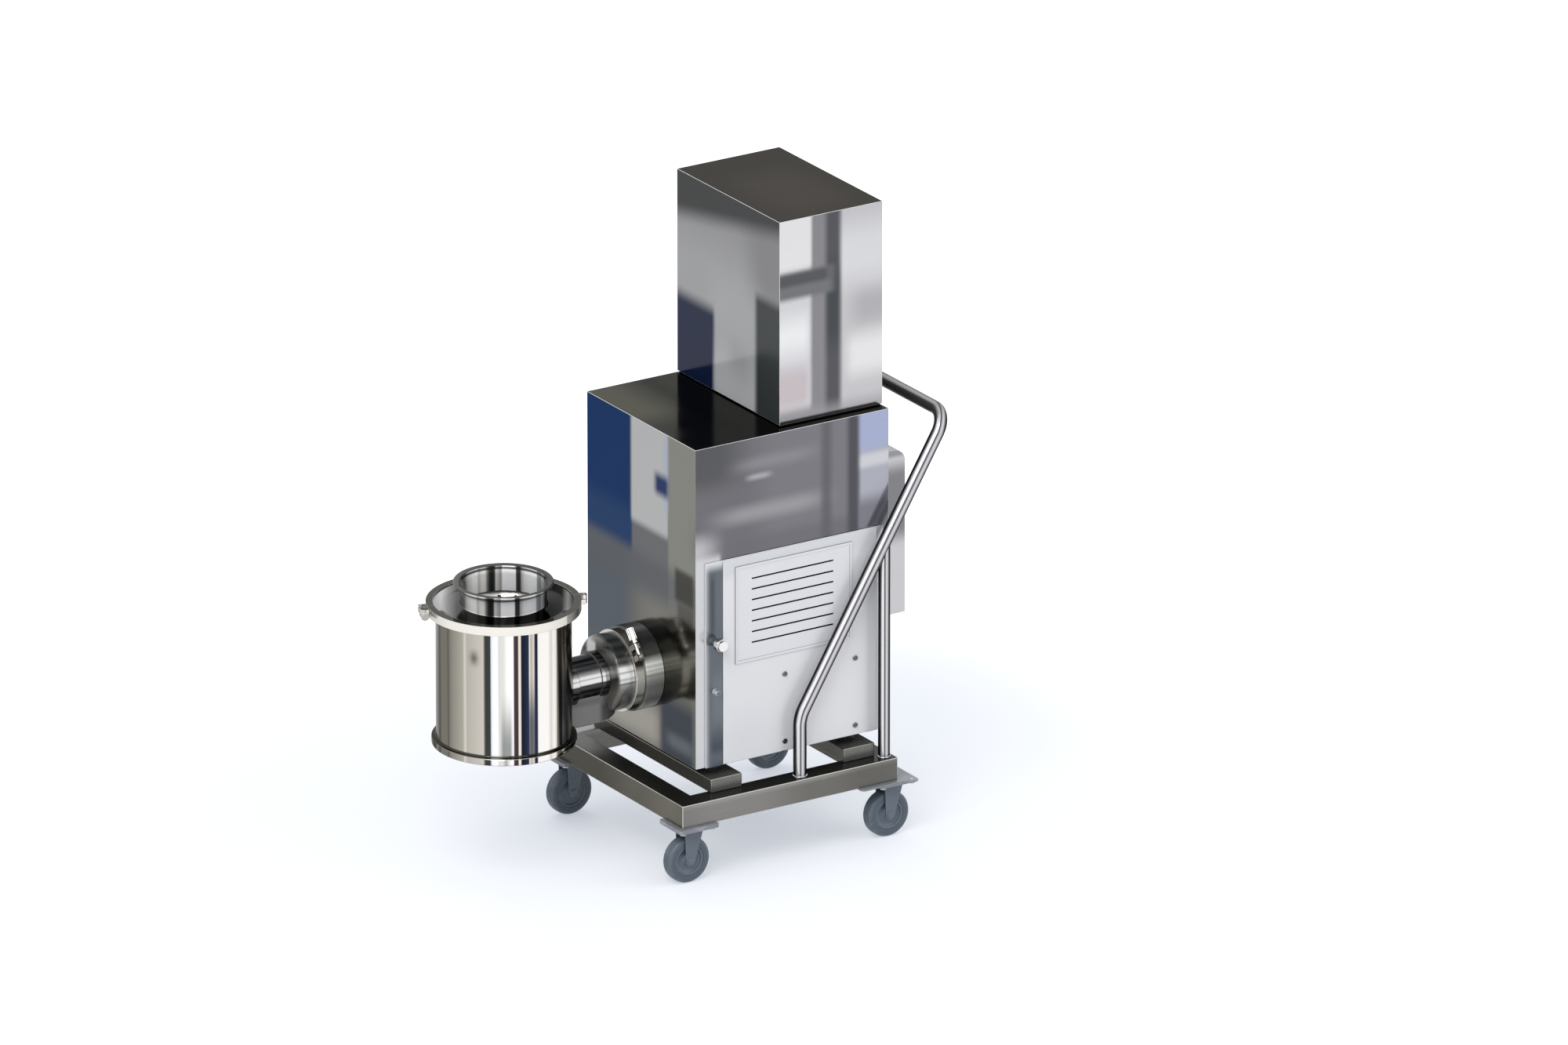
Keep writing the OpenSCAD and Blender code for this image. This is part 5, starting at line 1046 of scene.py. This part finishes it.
def weld_toe(x, y, radius, size=2.4):
    """A weld bead round a tube's foot: a small hump turned about the tube, its height raised and lowered by 18 % in 40
    ripples round it."""
    hump = [(0, radius + size), (size * 0.5, radius + size * 0.7), (size, radius + 0.1)]
    outline = round_corners([(0, radius - 0.5), *hump, (size, radius - 0.5)], 0.8, 3)
    points, faces = turned(outline, (x, y, FRAME_TOP), UP, 160)
    angle = np.arctan2(points[:, 1] - y, points[:, 0] - x)
    points[:, 2] += (points[:, 2] - FRAME_TOP) * 0.18 * np.cos(40 * angle)
    return points, faces


def post(y):
    """The middle line of one post behind the cabinet."""
    return np.array([POST_X, y, FRAME_TOP]) + np.array(UP) * np.linspace(0, 468, 12)[:, None]


put("handle_sweep", swept(handle_path(), HANDLE_RADIUS, BACK), "chassis", "handle_tube", ["push_handle"])
posts = [swept(post(y), POST_RADIUS, ALONG) for y in SIDES]
toes = [weld_toe(x, y, radius) for x, radius in ((HANDLE_X, HANDLE_RADIUS), (POST_X, POST_RADIUS)) for y in SIDES]
put("rear_posts", joined(*posts), "chassis", "handle_tube", ["handle_posts"])
put("handle_welds", joined(*toes), "chassis", "handle_tube")

# ---- Floor, light and camera ----

scene = bpy.context.scene
scene.view_settings.view_transform = "Standard"


def watched(net):
    """Whether a ray comes straight from the camera, and whether it comes so or by a mirror or through glass."""
    ray = net.add("ShaderNodeLightPath", {}).outputs
    bent = net.calc("MAXIMUM", ray["Is Glossy Ray"], ray["Is Transmission Ray"])
    return ray["Is Camera Ray"], net.calc("MAXIMUM", ray["Is Camera Ray"], bent)


# The floor keeps soft shadows near the machine and glows evenly from 2.2 m on
FLOOR_REACH = 9.0  # metres each way
floor_mesh = bpy.data.meshes.new("floor")
floor_corners = [(x * FLOOR_REACH, y * FLOOR_REACH, 0) for x, y in ((-1, -1), (1, -1), (1, 1), (-1, 1))]
floor_mesh.from_pydata(floor_corners, [], [[0, 1, 2, 3]])
floor = bpy.data.objects.new("floor", floor_mesh)
scene.collection.objects.link(floor)
floor_paint = bpy.data.materials.new("floor_paint")
floor_paint.use_nodes = True
net = Net(floor_paint.node_tree)
direct, seen = watched(net)
place = net.add("ShaderNodeTexCoord", {}).outputs["Object"]
away = net.fade(net.add("ShaderNodeVectorMath", {0: place}, operation="LENGTH").outputs[1], 0.9, 2.2)
matt = {"Base Color": (0.70, 0.68, 0.66, 1), "Roughness": 1.0, "Specular IOR Level": 0.0}
plain = net.add("ShaderNodeBsdfPrincipled", matt)
glow = net.mix(away, (0.43, 0.46, 0.51, 1), (0.95, 0.95, 0.95, 1))
net.join(plain.inputs["Emission Color"], net.mix(direct, (0.46, 0.46, 0.46, 1), glow))
net.join(plain.inputs["Emission Strength"], seen)
net.add("ShaderNodeOutputMaterial", {"Surface": plain.outputs[0]})
floor_mesh.materials.append(floor_paint)

world = bpy.data.worlds.new("studio")
world.use_nodes = True
scene.world = world
net = Net(world.node_tree)
seen = watched(net)[1]
sky = net.add("ShaderNodeBackground", {"Color": net.mix(seen, (0.56, 0.58, 0.62, 1), (1, 1, 1, 1)), "Strength": 1.0})
net.add("ShaderNodeOutputWorld", {"Surface": sky.outputs[0]})


def soft_lamp(name, place, power, size, tone, mirrored):
    """A square lamp that looks at the middle of the machine, 0.6 m up, mirrored in its metal or not."""
    lamp = bpy.data.lights.new(name, "AREA")
    lamp.energy, lamp.size, lamp.color = power, size, tone
    holder = bpy.data.objects.new(name, lamp)
    scene.collection.objects.link(holder)
    holder.location = place
    aim = np.array([0, 0, 0.6]) - np.array(place)
    holder.rotation_euler = (math.atan2(math.hypot(aim[0], aim[1]), -aim[2]), 0, math.atan2(-aim[0], aim[1]))
    holder.visible_glossy = mirrored


soft_lamp("key", (-2.6, -2.2, 3.6), 76.0, 2.4, (1.0, 0.99, 0.97), True)
soft_lamp("fill", (3.2, -2.6, 2.2), 26.0, 2.6, (0.97, 0.98, 1.0), False)
soft_lamp("rim", (0.6, 3.6, 3.0), 22.0, 2.4, (0.98, 0.98, 1.0), False)

camera = bpy.data.objects.new("camera", bpy.data.cameras.new("camera"))
scene.collection.objects.link(camera)
scene.camera = camera
camera.data.sensor_width = 36.0
camera.data.lens = 450.0
camera.data.clip_start, camera.data.clip_end = 1.0, 200.0
azimuth, elevation, distance = math.radians(-32.4), math.radians(20.5), 40.5
level = np.array([math.sin(azimuth), -math.cos(azimuth), 0])
back = level * math.cos(elevation) + np.array(UP) * math.sin(elevation)
camera.location = at([348, 210, 638.5]) + back * distance
camera.rotation_euler = (math.pi / 2 - elevation, 0, azimuth)
